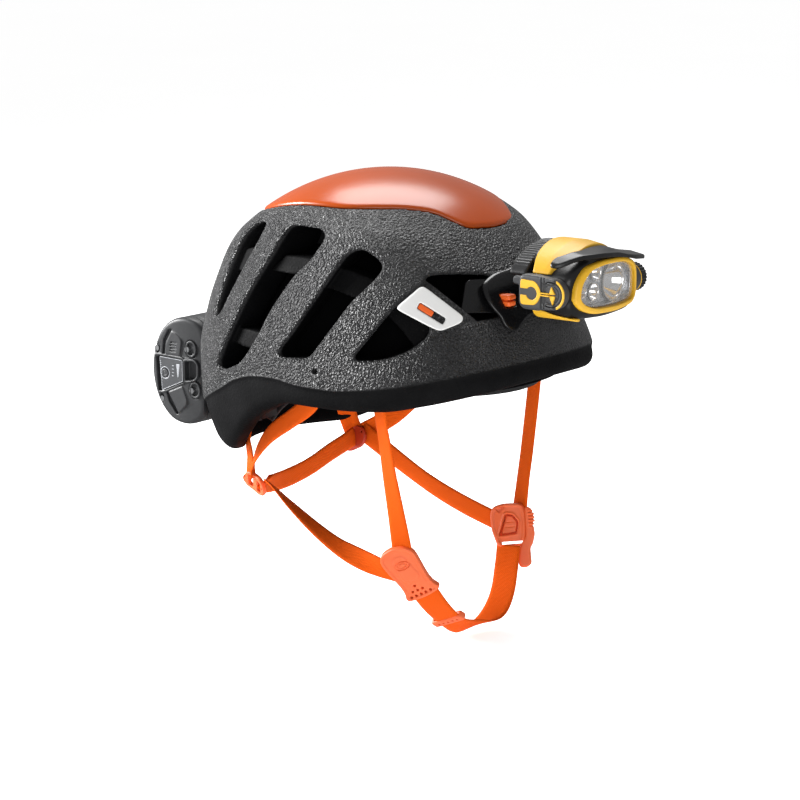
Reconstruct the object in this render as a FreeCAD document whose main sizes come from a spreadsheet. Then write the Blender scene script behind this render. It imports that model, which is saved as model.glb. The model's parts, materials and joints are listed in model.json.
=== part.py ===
"""Climbing helmet with a clipped-on front lamp and a rear battery pack.

Millimetres. +X points forward (brim), +Y to the wearer's left, +Z up. The origin is the centre
of the headband ring, where the head sits. Every sub-part is one document object with a Label that
names its file in parts/.
"""
import FreeCAD, Part
import math
import os

from FreeCAD import Placement, Rotation, Vector

os.makedirs("parts", exist_ok=True)
doc = FreeCAD.newDocument("ClimbingHelmet")

# ---------------------------------------------------------------- driving dimensions
# Body sections from the lowest to the highest: height, front reach, rear reach, half width, wall.
SECTIONS = [
    (-80, 90, 108, 84, 17),
    (-50, 118, 136, 101, 17),
    (-25, 130, 142.5, 107.5, 19),
    (5, 136, 142.5, 110, 21),
    (36, 122, 135.5, 106, 24),
    (60, 107, 127, 99, 25),
    (92, 82, 113, 88, 26),
    (125, 58, 98, 72, 26),
    (150, 38, 84, 58, 26),
]

DIMENSIONS = [
    ("dome_centre_x", -10.0, "crown ellipsoid centre, forward"),
    ("dome_centre_z", -20.0, "crown ellipsoid centre, height"),
    ("dome_length", 138.0, "crown ellipsoid radius along X"),
    ("dome_width", 151.0, "crown ellipsoid radius along Y"),
    ("dome_height", 147.0, "crown ellipsoid radius along Z"),
    ("crown_wall", 30.0, "shell and liner together at the crown"),
    ("brow_wall", 19.0, "foam between the crown ellipsoid and the cavity, front and rear"),
    ("cap_skin", 2.0, "hard cap thickness"),
    ("cap_gap", 0.3, "gap between neighbouring shells"),
    ("plate_gap", 0.3, "gap between a fitted plate and the foam"),
    ("plate_skin", 2.5, "thickness of plates that follow the foam"),
    ("window_start", 50.0, "distance from the middle plane where window cutters start"),
    ("window_depth", 90.0, "length of the window cutters"),
    ("rim_width", 300.0, "width of the rim cutter"),
    ("pin_hole", 1.6, "radius of the small moulding hole"),
    ("lamp_rear", 123.0, "back of the lamp housing"),
    ("lamp_depth", 38.0, "lamp housing depth"),
    ("lamp_half_width", 37.0, "lamp housing half width"),
    ("lamp_bottom", 50.0, "underside of the lamp housing"),
    ("lamp_shoulder", 76.0, "height where the lamp's arched top starts"),
    ("lamp_top", 90.5, "top of the arch"),
    ("lamp_chamber_width", 56.0, "reflector chamber width"),
    ("lamp_chamber_height", 27.0, "reflector chamber height"),
    ("lamp_chamber_depth", 25.0, "reflector chamber depth"),
    ("lamp_face_z", 68.6, "height of the lens centre"),
    ("bezel_width", 64.0, "bezel width"),
    ("bezel_height", 33.5, "bezel height"),
    ("bezel_depth", 4.0, "bezel depth"),
    ("bezel_corner", 12.0, "bezel corner radius"),
    ("bezel_border", 4.0, "width of the bezel's rim"),
    ("lens_thick", 1.5, "lens thickness"),
    ("tilt_x", 150.0, "lamp tilt axis, forward"),
    ("tilt_z", 65.5, "lamp tilt axis, height"),
    ("pivot_radius", 4.0, "tilt pivot radius"),
    ("running_gap", 0.06, "radial clearance in pivots"),
    ("arm_inner", 37.6, "inner face of the bracket arms"),
    ("arm_thick", 5.4, "bracket arm thickness"),
    ("arm_bottom", 55.0, "underside of the bracket arms"),
    ("arm_height", 24.0, "bracket arm height"),
    ("arm_front", 158.0, "front end of the bracket arms"),
    ("knob_radius", 9.3, "lamp knob radius"),
    ("knob_thick", 7.0, "lamp knob thickness"),
    ("knob_gap", 0.8, "gap between the arm and the knob"),
    ("knob_shaft", 2.0, "knob shaft radius"),
    ("knob_shaft_length", 6.0, "knob shaft length"),
    ("sink_depth", 9.6, "heat sink depth behind the housing"),
    ("sink_half_width", 27.0, "heat sink half width"),
    ("sink_bottom", 57.0, "heat sink underside"),
    ("sink_height", 29.0, "heat sink height"),
    ("fin_thick", 2.4, "heat sink fin thickness"),
    ("latch_depth", 10.0, "latch button depth"),
    ("latch_width", 8.0, "latch button width"),
    ("latch_height", 7.5, "latch button height"),
    ("latch_gap", 0.4, "gap round a latch button"),
    ("latch_low", 54.6, "underside of the latch buttons"),
    ("latch_side", 27.0, "inner side of the latch buttons"),
    ("clip_pin", 1.0, "radius of the pin on the clip's hinge line"),
    ("clip_pin_length", 12.0, "length of that pin"),
    ("pack_end", 45.0, "battery pack half length"),
    ("pack_cap", 8.0, "battery pack end cap thickness"),
    ("pack_fit", 4.6, "pack's hollow back, clear of the widest foam"),
    ("pack_bracket_fit", 4.2, "pack bracket's outer face, beyond the widest foam"),
    ("pack_bracket_half", 30.0, "pack bracket half width"),
    ("pack_bracket_bottom", -50.0, "pack bracket lower end"),
    ("pack_bracket_height", 62.0, "pack bracket height"),
    ("cell_radius", 9.2, "battery cell radius"),
    ("cell_length", 65.0, "battery cell length"),
    ("cell_x", -160.0, "battery cell axis"),
    ("cell_pitch", 20.0, "spacing of the cells"),
    ("cell_low_z", -39.0, "height of the lowest cell"),
    ("cell_bore", 9.6, "radius of a cell's bore in the casing"),
    ("screw_radius", 2.0, "pack screw radius"),
    ("screw_length", 5.0, "pack screw length"),
    ("gauge_radius", 3.0, "gauge button radius"),
    ("gauge_length", 4.4, "gauge button length"),
    ("panel_thick", 1.0, "label panel thickness"),
    ("band_length", 100.0, "headband ring radius along X"),
    ("band_width", 75.5, "headband ring radius along Y"),
    ("band_thick", 2.0, "headband thickness"),
    ("band_low", -6.0, "underside of the front headband"),
    ("band_height", 20.0, "front headband height"),
    ("band_back", -12.0, "rear end of the front headband"),
    ("cradle_length", 105.0, "nape cradle radius along X"),
    ("cradle_low", -40.0, "underside of the nape cradle"),
    ("cradle_height", 26.0, "nape cradle height"),
    ("cradle_front", -18.0, "front ends of the nape cradle"),
    ("pad_thick", 7.0, "comfort pad thickness"),
    ("front_pad_half", 48.0, "forehead pad half width"),
    ("nape_pad_half", 34.0, "nape pad half width"),
    ("web_thick", 1.6, "webbing thickness"),
    ("side_web", 13.0, "width of the side webbing"),
    ("chin_web", 19.0, "width of the chin webbing"),
]


def make_sheet():
    """The driving dimensions, one row each: note, value with its alias."""
    sheet = doc.addObject("Spreadsheet::Sheet", "Dims")
    rows = list(DIMENSIONS)
    for index, section in enumerate(SECTIONS):
        for word, number in zip(("level", "front", "rear", "half", "wall"), section):
            rows.append((f"{word}_{index}", number, f"body section {index}: {word}"))
    for line, (alias, number, note) in enumerate(rows, start=1):
        sheet.set(f"A{line}", note)
        sheet.set(f"B{line}", str(number))
        sheet.setAlias(f"B{line}", alias)
    doc.recompute()
    return sheet


sheet = make_sheet()
nodes = []


def size(alias):
    """The number in a named cell."""
    return float(sheet.get(alias))


# ---------------------------------------------------------------- building blocks
def bind(thing, **sizes):
    """Bind properties to expressions; x, y and z bind the position."""
    for name, expression in sizes.items():
        prop = f"Placement.Base.{name}" if name in ("x", "y", "z") else name
        thing.setExpression(prop, str(expression))
    return thing


def node(thing, label):
    """Name a finished sub-part."""
    thing.Label = label
    nodes.append(thing)
    return thing


def box(name, sizes, corner):
    """A box from its low corner; every number is an expression."""
    block = doc.addObject("Part::Box", name)
    bind(block, Length=sizes[0], Width=sizes[1], Height=sizes[2])
    return bind(block, x=corner[0], y=corner[1], z=corner[2])


def cylinder(name, radius, length, base, axis):
    """A cylinder from the centre of its base, along an axis."""
    rod = doc.addObject("Part::Cylinder", name)
    rod.Placement = Placement(Vector(0, 0, 0), Rotation(Vector(0, 0, 1), Vector(*axis)))
    bind(rod, Radius=radius, Height=length)
    return bind(rod, x=base[0], y=base[1], z=base[2])


def cut(name, base, tool):
    """Base without tool."""
    result = doc.addObject("Part::Cut", name)
    result.Base, result.Tool = base, tool
    return result


def common(name, *shapes):
    """What all the shapes share."""
    result = doc.addObject("Part::MultiCommon", name)
    result.Shapes = list(shapes)
    return result


def fuse(name, *shapes):
    """The shapes joined into one."""
    result = doc.addObject("Part::MultiFuse", name)
    result.Shapes = list(shapes)
    return result


def group(name, *shapes):
    """Separate solids kept together in one sub-part."""
    result = doc.addObject("Part::Compound", name)
    result.Links = list(shapes)
    return result


def mirrored(name, source):
    """The left-hand copy of a right-hand piece."""
    result = doc.addObject("Part::Mirroring", name)
    result.Source = source
    result.Normal = Vector(0, 1, 0)
    result.Base = Vector(0, 0, 0)
    return result


def facing(origin, across, up):
    """A placement whose local X runs across, local Y up and local Z out."""
    across, up = Vector(*across), Vector(*up)
    across.normalize()
    out = across.cross(up)
    return Placement(Vector(*origin), Rotation(across, out.cross(across), out, "ZXY"))


def extruded(name, profile, length, reverse=False):
    """A solid pulled out of a closed profile, along the profile's normal."""
    solid = doc.addObject("Part::Extrusion", name)
    solid.Base = profile
    solid.DirMode = "Normal"
    solid.Solid = True
    solid.Reversed = reverse
    return bind(solid, LengthFwd=length)


def sketch_of(name, edges, placement):
    """A closed sketch made from ready edges."""
    outline = doc.addObject("Sketcher::SketchObject", name)
    outline.Placement = placement
    for edge in edges:
        outline.addGeometry(edge, False)
    return outline


def straight_edges(points, close=True):
    """Line segments from point to point."""
    corners = [Vector(u, v, 0) for u, v in points]
    pairs = zip(corners, corners[1:] + corners[:1]) if close else zip(corners, corners[1:])
    return [Part.LineSegment(first, second) for first, second in pairs]


def prism(name, points, placement, length):
    """A straight-sided solid from a polygon in the placement's plane."""
    return extruded(name, sketch_of(name + "_outline", straight_edges(points), placement), length)


def side_frame(turn, distance):
    """A vertical plane on the right side, turned from straight sideways towards the back."""
    angle = math.radians(turn)
    out = (-math.sin(angle) * distance, -math.cos(angle) * distance, 0)
    return facing(out, (math.cos(angle), -math.sin(angle), 0), (0, 0, 1))


def rounded(name, block, radius, axis):
    """A box with the four edges along an axis rounded."""
    doc.recompute()
    result = doc.addObject("Part::Fillet", name)
    result.Base = block
    along = Vector(*axis)
    chosen = []
    for number, edge in enumerate(block.Shape.Edges, start=1):
        start, end = edge.Vertexes[0].Point, edge.Vertexes[-1].Point
        if (end - start).normalize().cross(along).Length < 1e-6:
            chosen.append((number, size(radius), size(radius)))
    result.Edges = chosen
    return result


# ---------------------------------------------------------------- foam, cap and liner
def body_loft(name, out):
    """The side surface of the shell; out is an expression added to every section."""
    rings = []
    for index in range(len(SECTIONS)):
        ring = doc.addObject("Part::Ellipse", f"{name}_ring_{index}")
        grow = out.replace("wall", f"Dims.wall_{index}")
        bind(ring, MajorRadius=f"(Dims.front_{index} + Dims.rear_{index}) / 2 + {grow}",
             MinorRadius=f"Dims.half_{index} + {grow}",
             x=f"(Dims.front_{index} - Dims.rear_{index}) / 2", z=f"Dims.level_{index}")
        rings.append(ring)
    loft = doc.addObject("Part::Loft", name)
    loft.Sections = rings
    loft.Solid = True
    return loft


def dome(name, out, ends=None):
    """The crown surface; out is an expression added to its radii, ends another for its length."""
    shape = doc.addObject("Part::Ellipsoid", name)
    bind(shape, Radius1=f"Dims.dome_height + {out}", Radius2=f"Dims.dome_length + {ends or out}",
         Radius3=f"Dims.dome_width + {out}", x="Dims.dome_centre_x", z="Dims.dome_centre_z")
    return shape


RIM = [(-160, -61), (-112, -63), (-94, -62), (-78, -55), (-62, -43.5), (-46, -30), (-30, -20.7),
       (-8, -13), (28, -12.8), (58, -11.3), (82, -6.5), (108, 0.5), (134, 8), (160, 9)]
CAP_RIGHT = [(-94, 0), (-90, -28), (-77, -48), (-59, -60.5), (-35, -67.5), (-8, -69.5), (10, -67),
             (26, -57.5), (40, -44.5), (52, -32), (63, -26), (71, -19), (73.6, 0)]
CORE_SHARE = 0.82

# Windows on the right side: turn in degrees, then corners as (along the side, height).
WINDOWS = [
    (43, [(20.6, 96), (9, 95.3), (0.3, 88.3), (-5.3, 79.8), (17, 79.6)]),
    (43, [(-2.2, 60.7), (11.4, 64), (7.7, 51.8), (3.4, 38.1), (-7.9, 30.9), (-10, 43.8)]),
    (14, [(-2.9, 95.3), (23, 96.5), (28.8, 93.3), (22.8, 78.8), (-0.9, 78.3)]),
    (14, [(-8.1, 67.6), (12.1, 67.3), (1.9, 48.9), (-8.6, 28.9), (-30.8, 29.5), (-23.6, 52)]),
    (14, [(-35.7, 18.5), (-16.7, 17.5), (-18.4, 13.4), (-45.2, 0.6), (-51, 2.9)]),
    (-13, [(10.2, 85.2), (15.9, 86), (27.6, 79.9), (29.6, 75.9), (24.4, 67.5), (5.5, 73.6)]),
    (-13, [(-2.3, 61.1), (13.8, 56.9), (1.9, 39.3), (-13.4, 20), (-34, 18.2), (-35.9, 21.1)]),
    (-36, [(1.3, 53.5), (-25.1, 21.9), (-3.3, 24), (10.8, 29.8), (12, 33.3), (3.9, 41.3)]),
    (-58, [(-8, 68), (3.4, 69.5), (20, 65), (20, 49), (8, 50)]),
]


def crown_outline(name, share):
    """The cap's outline from above, scaled by a share, as a tall prism."""
    right = [(u * share - 6 * (1 - share), v * share) for u, v in CAP_RIGHT]
    left = [(u, -v) for u, v in reversed(right[1:-1])]
    return prism(name, right + left, facing((0, 0, 60), (1, 0, 0), (0, 1, 0)), "Dims.window_depth")


def rim_cutter():
    """Everything below the wavy rim."""
    points = [Vector(u, v, 0) for u, v in RIM]
    curve = Part.BSplineCurve()
    curve.interpolate(points)
    floor = [(RIM[-1][0], RIM[-1][1]), (160, -100), (-160, -100), (RIM[0][0], RIM[0][1])]
    outline = sketch_of("rim_line", [curve] + straight_edges(floor, close=False),
                        facing((0, size("rim_width") / 2, 0), (1, 0, 0), (0, 0, 1)))
    return extruded("rim_cutter", outline, "Dims.rim_width")


def window_cutters():
    """Both sides' ventilation windows and the small moulding hole."""
    right = [prism(f"window_{number}", points, side_frame(turn, size("window_start")), "Dims.window_depth")
             for number, (turn, points) in enumerate(WINDOWS)]
    right.append(cylinder("pin_hole", "Dims.pin_hole", "30", ("17.4", "-115", "12"), (0, 1, 0)))
    return right + [mirrored(cutter.Name + "_left", cutter) for cutter in right]


outer_side = body_loft("outer_side", "0")
inner_side = body_loft("inner_side", "(0 - wall)")
plate_low = body_loft("plate_low", "Dims.plate_gap")
plate_high = body_loft("plate_high", "(Dims.plate_gap + Dims.plate_skin)")
outer_dome = dome("outer_dome", "0")
under_cap = dome("under_cap", "(0 - Dims.cap_skin)")
cap_seat = dome("cap_seat", "(0 - Dims.cap_skin - Dims.cap_gap)")
inner_dome = dome("inner_dome", "(0 - Dims.crown_wall)", "(0 - Dims.brow_wall)")
cap_zone = crown_outline("cap_zone", 1.0)
seat_zone = crown_outline("seat_zone", 1.01)
core_zone = crown_outline("core_zone", CORE_SHARE)
core_hole = crown_outline("core_hole", CORE_SHARE + 0.01)
cavity = common("cavity", inner_side, inner_dome)
outside = common("outside", outer_side, outer_dome)
rim = rim_cutter()


def latch_block(name, depth, start, gap):
    """A block the size of the right latch button, with a gap round it."""
    return box(name, (depth, f"Dims.latch_width + 2 * {gap}", f"Dims.latch_height + 2 * {gap}"),
               (start, f"0 - Dims.latch_side - Dims.latch_width - {gap}", f"Dims.latch_low - {gap}"))


def foam_shell():
    """The moulded foam body with its windows, crown opening and strap slots."""
    seat = cut("seat", seat_zone, cap_seat)
    front_slot = box("front_slot", ("16", "10", "48"), ("43", "-89", "-30"))
    latch_pocket = latch_block("latch_pocket", "Dims.latch_depth + 6", "94", "Dims.latch_gap")
    tools = [cavity, seat, core_hole, rim, front_slot, mirrored("front_slot_left", front_slot),
             latch_pocket, mirrored("latch_pocket_left", latch_pocket)]
    return node(cut("foam", outside, fuse("foam_tools", *(tools + window_cutters()))), "foam_shell")


def crown_pieces():
    """The hard cap and the dense liner under it."""
    skin = cut("cap_layer", outer_dome, under_cap)
    node(common("cap_piece", skin, cap_zone, outer_side), "top_cap")
    liner = cut("liner_layer", common("liner_block", cap_seat, core_zone), inner_dome)
    node(liner, "crown_insert")


# ---------------------------------------------------------------- headband and pads
def ring(name, radius_x, radius_y, low, height):
    """A solid oval disc."""
    oval = doc.addObject("Part::Ellipse", name + "_oval")
    bind(oval, MajorRadius=radius_x, MinorRadius=radius_y, z=low)
    return extruded(name, oval, height)


def hoop(name, inset, thick, low, height, length="Dims.band_length"):
    """An oval hoop a given inset inside the headband's outer face."""
    outer = ring(name + "_out", f"{length} - {inset}", f"Dims.band_width - {inset}", low, height)
    inner = ring(name + "_in", f"{length} - {inset} - {thick}", f"Dims.band_width - {inset} - {thick}",
                 low, height)
    return cut(name, outer, inner)


def headband():
    """Front band, its pad and hangers, then the nape cradle that slides forward to fit."""
    front_zone = box("band_zone", ("130", "170", "90"), ("Dims.band_back", "-85", "-50"))
    front = hoop("band_hoop", "0", "Dims.band_thick", "Dims.band_low", "Dims.band_height")
    node(common("band_piece", front, front_zone), "front_headband")
    pad_zone = box("front_pad_zone", ("100", "2 * Dims.front_pad_half", "90"),
                   ("30", "0 - Dims.front_pad_half", "-50"))
    pad = hoop("front_pad_hoop", "Dims.band_thick", "Dims.pad_thick", "Dims.band_low - 1",
               "Dims.band_height + 4")
    node(common("front_pad_piece", pad, pad_zone), "front_pad")
    back_zone = box("cradle_zone", ("110", "170", "90"), ("Dims.cradle_front - 110", "-85", "-60"))
    cradle = hoop("cradle_hoop", "0", "Dims.band_thick", "Dims.cradle_low", "Dims.cradle_height",
                  "Dims.cradle_length")
    node(common("cradle_piece", cradle, back_zone), "nape_cradle")
    nape_zone = box("nape_zone", ("60", "2 * Dims.nape_pad_half", "90"),
                    ("-115", "0 - Dims.nape_pad_half", "-60"))
    nape = hoop("nape_hoop", "Dims.band_thick", "Dims.pad_thick - 2", "Dims.cradle_low + 2",
                "Dims.cradle_height - 4", "Dims.cradle_length")
    node(common("nape_piece", nape, nape_zone), "nape_pad")
    return hangers()


def hangers():
    """Blocks that reach from the foam to the bands: four for the front, a cradle guide each side."""
    ahead = ring("band_solid", "Dims.band_length", "Dims.band_width", "-60", "90")
    behind = ring("cradle_solid", "Dims.cradle_length + 0.4", "Dims.band_width + 0.4", "-60", "90")
    fixed = []
    for number, (x, y) in enumerate(((76, -62), (76, 46), (10, -95), (10, 75))):
        block = box(f"hanger_block_{number}", ("14", "16" if x > 50 else "20", "12"), (x, y, "-2"))
        fixed.append(cut(f"hanger_{number}", common(f"hanger_fit_{number}", block, cavity), ahead))
    node(group("hanger_set", *fixed), "headband_hangers")
    block = box("guide_block", ("12", "30", "14"), ("-62", "-90", "-32"))
    guide = cut("guide_right", common("guide_fit", block, cavity), behind)
    node(group("guide_set", guide, mirrored("guide_left", guide)), "cradle_guides")
    return behind


def crown_pads():
    """Soft pads on the liner and on the foam at each side."""
    top = dome("pad_top", "(0 - Dims.crown_wall - Dims.cap_gap)", "(0 - Dims.brow_wall - Dims.cap_gap)")
    bottom = dome("pad_bottom", "(0 - Dims.crown_wall - Dims.pad_thick)",
                  "(0 - Dims.brow_wall - Dims.pad_thick)")
    zone = box("crown_pad_zone", ("92", "30", "60"), ("-50", "-15", "60"))
    node(cut("crown_pad_piece", common("crown_pad_block", top, zone), bottom), "crown_pad")
    near = body_loft("pad_outer", "(0 - wall - Dims.cap_gap)")
    far = body_loft("pad_inner", "(0 - wall - Dims.pad_thick)")
    side = box("side_pad_zone", ("34", "60", "26"), ("-12", "-110", "24"))
    right = cut("side_pad_piece", common("side_pad_block", near, side, inner_dome), far)
    node(right, "side_pad_right")
    node(mirrored("side_pad_mirror", right), "side_pad_left")


# ---------------------------------------------------------------- clips that hold the lamp's band
CLIP_TURN = -47
CLIP = [(-3.6, 66.8), (-0.6, 66.2), (21.6, 49), (20.6, 45.7), (6.5, 40.9), (1.7, 42.7), (-19.1, 53.5),
        (-17.8, 55.8)]
CLIP_SLOT = [(-7.1, 54.2), (-4.8, 57.8), (10.6, 48.2), (8.3, 44.6)]
CLIP_TAB = [(-6.6, 54.32), (-4.68, 57.33), (3.6, 52.16), (1.68, 49.15)]
HINGE_POINT = (65.94, -77.06, 60.15)
HINGE_ALONG = (-0.392, -0.658, -0.642)


def clips():
    """A springy clip each side with a sliding tab in its slot."""
    layer = cut("clip_layer", plate_high, plate_low)
    frame = side_frame(CLIP_TURN, size("window_start"))
    blank = common("clip_blank", prism("clip_zone", CLIP, frame, "Dims.window_depth"), layer)
    start = Vector(*HINGE_POINT) - Vector(*HINGE_ALONG) * (size("clip_pin_length") / 2)
    pin = cylinder("clip_pin", "Dims.clip_pin", "Dims.clip_pin_length", tuple(start), HINGE_ALONG)
    slotted = cut("clip_slotted", blank, prism("clip_slot", CLIP_SLOT, frame, "Dims.window_depth"))
    right = fuse("clip_piece", slotted, pin)
    tab = common("tab_piece", prism("tab_zone", CLIP_TAB, frame, "Dims.window_depth"), layer)
    for piece, label in ((right, "side_clip"), (tab, "clip_tab")):
        node(piece, label + "_right")
        node(mirrored(piece.Name + "_left", piece), label + "_left")


# ---------------------------------------------------------------- lamp and its bracket
def lamp_bracket():
    """The curved plate on the forehead, two arms that carry the lamp, and the latch buttons."""
    half = [(0, 74), (-30, 74), (-42, 67), (-44, 52), (-36, 37.5), (-24, 45), (0, 45)]
    zone = prism("plate_zone", half, facing((60, 0, 0), (0, 1, 0), (0, 0, 1)), "Dims.window_depth")
    blank = common("plate_blank", zone, cut("plate_layer", plate_high, plate_low))
    screw_hole = cylinder("plate_screw_hole", "2.1", "40", ("88", "-10", "60"), (1, 0, 0))
    latch_hole = latch_block("latch_hole", "30", "88", "Dims.latch_gap")
    right = cut("plate_right", blank, fuse("plate_holes", latch_hole, screw_hole))
    node(fuse("plate_piece", right, mirrored("plate_left", right)), "lamp_bracket")
    button = latch_block("latch_button", "Dims.latch_depth", "98.6", "0")
    node(button, "bracket_latch_right")
    node(mirrored("latch_button_left", button), "bracket_latch_left")
    screws = [cylinder(f"plate_screw_{number}", "2", "3.4", ("104.6", y, "60"), (1, 0, 0))
              for number, y in enumerate(("-10", "10"))]
    node(group("plate_screw_set", *screws), "bracket_screws")


def bracket_arms():
    """The fork arms, each with a pivot hole."""
    block = box("arm_block", ("Dims.arm_front - 88", "Dims.arm_thick", "Dims.arm_height"),
                ("88", "0 - Dims.arm_inner - Dims.arm_thick", "Dims.arm_bottom"))
    hole = cylinder("arm_hole", "Dims.pivot_radius + Dims.running_gap", "20",
                    ("Dims.tilt_x", "-50", "Dims.tilt_z"), (0, 1, 0))
    right = cut("arm_piece", block, fuse("arm_tools", hole, plate_high))
    node(right, "bracket_arm_right")
    node(mirrored("arm_mirror", right), "bracket_arm_left")


def housing_outline():
    """The lamp housing seen from the front, as sketch edges: flat base, sides, arched top."""
    half, low = size("lamp_half_width"), size("lamp_bottom")
    shoulder, top = size("lamp_shoulder"), size("lamp_top")
    base = straight_edges([(-half, shoulder), (-half, low + 8), (-half + 7, low), (half - 7, low),
                           (half, low + 8), (half, shoulder)], close=False)
    arch = Part.Arc(Vector(half, shoulder, 0), Vector(0, top, 0), Vector(-half, shoulder, 0))
    return base + [arch]


def origin_plane(body, role):
    """One of a body's own origin planes."""
    return next(plane for plane in body.Origin.OriginFeatures if plane.Role == role)


def lamp_housing():
    """The housing: a pad with the reflector chamber pocketed from its front."""
    body = doc.addObject("PartDesign::Body", "housing_body")
    outline = body.newObject("Sketcher::SketchObject", "housing_sketch")
    outline.AttachmentSupport = [(origin_plane(body, "YZ_Plane"), "")]
    outline.MapMode = "FlatFace"
    for edge in housing_outline():
        outline.addGeometry(edge, False)
    pad = body.newObject("PartDesign::Pad", "housing_pad")
    pad.Profile = outline
    bind(pad, Length="Dims.lamp_depth")
    doc.recompute()
    solid_volume = pad.Shape.Volume
    mouth = body.newObject("Sketcher::SketchObject", "chamber_sketch")
    mouth.AttachmentSupport = [(origin_plane(body, "YZ_Plane"), "")]
    mouth.MapMode = "FlatFace"
    mouth.AttachmentOffset = Placement(Vector(0, 0, size("lamp_depth")), Rotation())
    half, tall, middle = size("lamp_chamber_width") / 2, size("lamp_chamber_height") / 2, size("lamp_face_z")
    for edge in straight_edges([(-half, middle - tall), (half, middle - tall), (half, middle + tall),
                                (-half, middle + tall)]):
        mouth.addGeometry(edge, False)
    chamber = body.newObject("PartDesign::Pocket", "housing_chamber")
    chamber.Profile = mouth
    bind(chamber, Length="Dims.lamp_chamber_depth")
    doc.recompute()
    assert chamber.Shape.Volume < solid_volume - 1000, "the chamber cuts nothing"
    bind(body, x="Dims.lamp_rear")
    node(body, "lamp_housing")


def arch_strip():
    """The coloured band over the arched top."""
    half, shoulder, top = size("lamp_half_width"), size("lamp_shoulder"), size("lamp_top")
    rise = top - shoulder
    radius = (half * half + rise * rise) / (2 * rise)
    centre = Vector(0, top - radius, 0)
    span = math.asin((half - 2) / radius)
    arcs, ends = [], []
    for reach in (radius + 0.2, radius + 2.2):
        points = [centre + Vector(math.sin(turn) * reach, math.cos(turn) * reach, 0)
                  for turn in (-span, 0, span)]
        arcs.append(Part.Arc(*points))
        ends.append((points[0], points[2]))
    sides = [Part.LineSegment(ends[0][side], ends[1][side]) for side in (0, 1)]
    outline = sketch_of("cover_outline", arcs + sides, facing((129, 0, 0), (0, 1, 0), (0, 0, 1)))
    node(extruded("cover_strip", outline, "20"), "lamp_top_cover")


def heat_sink():
    """A base plate with upright fins behind the housing."""
    depth, half = "Dims.sink_depth", "Dims.sink_half_width"
    pieces = [box("sink_base", ("3", f"2 * {half}", "Dims.sink_height"),
                  ("Dims.lamp_rear - 3.1", f"0 - {half}", "Dims.sink_bottom"))]
    count = 9
    for number in range(count):
        place = f"(0 - {half}) + (2 * {half} - Dims.fin_thick) * {number} / {count - 1}"
        pieces.append(box(f"fin_{number}", (depth, "Dims.fin_thick", "Dims.sink_height"),
                          (f"Dims.lamp_rear - {depth} - 0.1", place, "Dims.sink_bottom")))
    node(fuse("sink_piece", *pieces), "heat_sink")


REFLECTORS = [(-1.5, 75.2, 5.5), (-6, 64.5, 5.5), (-16, 76, 3.6), (-18, 65.5, 3.6)]
MAIN_REFLECTOR = (15, 68.6, 10.9)


def cup(name, y, z, mouth, depth):
    """A hollow cone that opens forward."""
    front = size("lamp_rear") + size("lamp_depth") - 0.6
    shells = []
    for part_name, inset in (("out", 0.0), ("in", 0.7)):
        cone = doc.addObject("Part::Cone", f"{name}_{part_name}")
        cone.Placement = Placement(Vector(front - depth, y, z), Rotation(Vector(0, 0, 1), Vector(1, 0, 0)))
        bind(cone, Radius1=f"{mouth * 0.35 - inset * 0.6}", Radius2=f"{mouth - inset}", Height=f"{depth}")
        shells.append(cone)
    return cut(name, *shells)


def lamp_front():
    """Bezel, lens, reflectors, light sources and their board."""
    front = "Dims.lamp_rear + Dims.lamp_depth"
    frame = rounded("bezel_blank", box("bezel_block", ("Dims.bezel_depth", "Dims.bezel_width",
                                                       "Dims.bezel_height"),
                                       (f"{front} + 0.2", "0 - Dims.bezel_width / 2",
                                        "Dims.lamp_face_z - Dims.bezel_height / 2")),
                    "bezel_corner", (1, 0, 0))
    border = "Dims.bezel_border"
    opening = (f"Dims.bezel_width - 2 * {border}", f"Dims.bezel_height - 2 * {border}")
    window = box("bezel_window", ("10", *opening),
                 (f"{front} - 2", f"{border} - Dims.bezel_width / 2",
                  f"Dims.lamp_face_z - Dims.bezel_height / 2 + {border}"))
    node(cut("bezel_piece", frame, window), "lamp_bezel")
    pane = box("lens_pane", ("Dims.lens_thick", f"Dims.bezel_width - 2 * {border} - 0.4",
                             f"Dims.bezel_height - 2 * {border} - 0.4"),
               (f"{front} + 1", f"{border} + 0.2 - Dims.bezel_width / 2",
                f"Dims.lamp_face_z - Dims.bezel_height / 2 + {border} + 0.2"))
    node(pane, "lamp_lens")
    y, z, mouth = MAIN_REFLECTOR
    node(cup("main_cup", y, z, mouth, 13), "main_reflector")
    cups = [cup(f"cup_{number}", y, z, mouth, 9) for number, (y, z, mouth) in enumerate(REFLECTORS)]
    node(group("cup_set", *cups), "side_reflectors")
    chips = [box(f"chip_{number}", ("1.4", "2.4", "2.4"),
                 (f"{front} - {0.6 + depth} - 1.6", f"{place[0]} - 1.2", f"{place[1]} - 1.2"))
             for number, (place, depth) in enumerate([(MAIN_REFLECTOR, 13)] + [(r, 9) for r in REFLECTORS])]
    node(group("chip_set", *chips), "light_sources")
    board = box("board_piece", ("1.6", "Dims.lamp_chamber_width - 3", "Dims.lamp_chamber_height - 2"),
                (f"{front} - 18", "1.5 - Dims.lamp_chamber_width / 2",
                 "Dims.lamp_face_z - Dims.lamp_chamber_height / 2 + 1"))
    node(board, "lamp_circuit_board")


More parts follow.
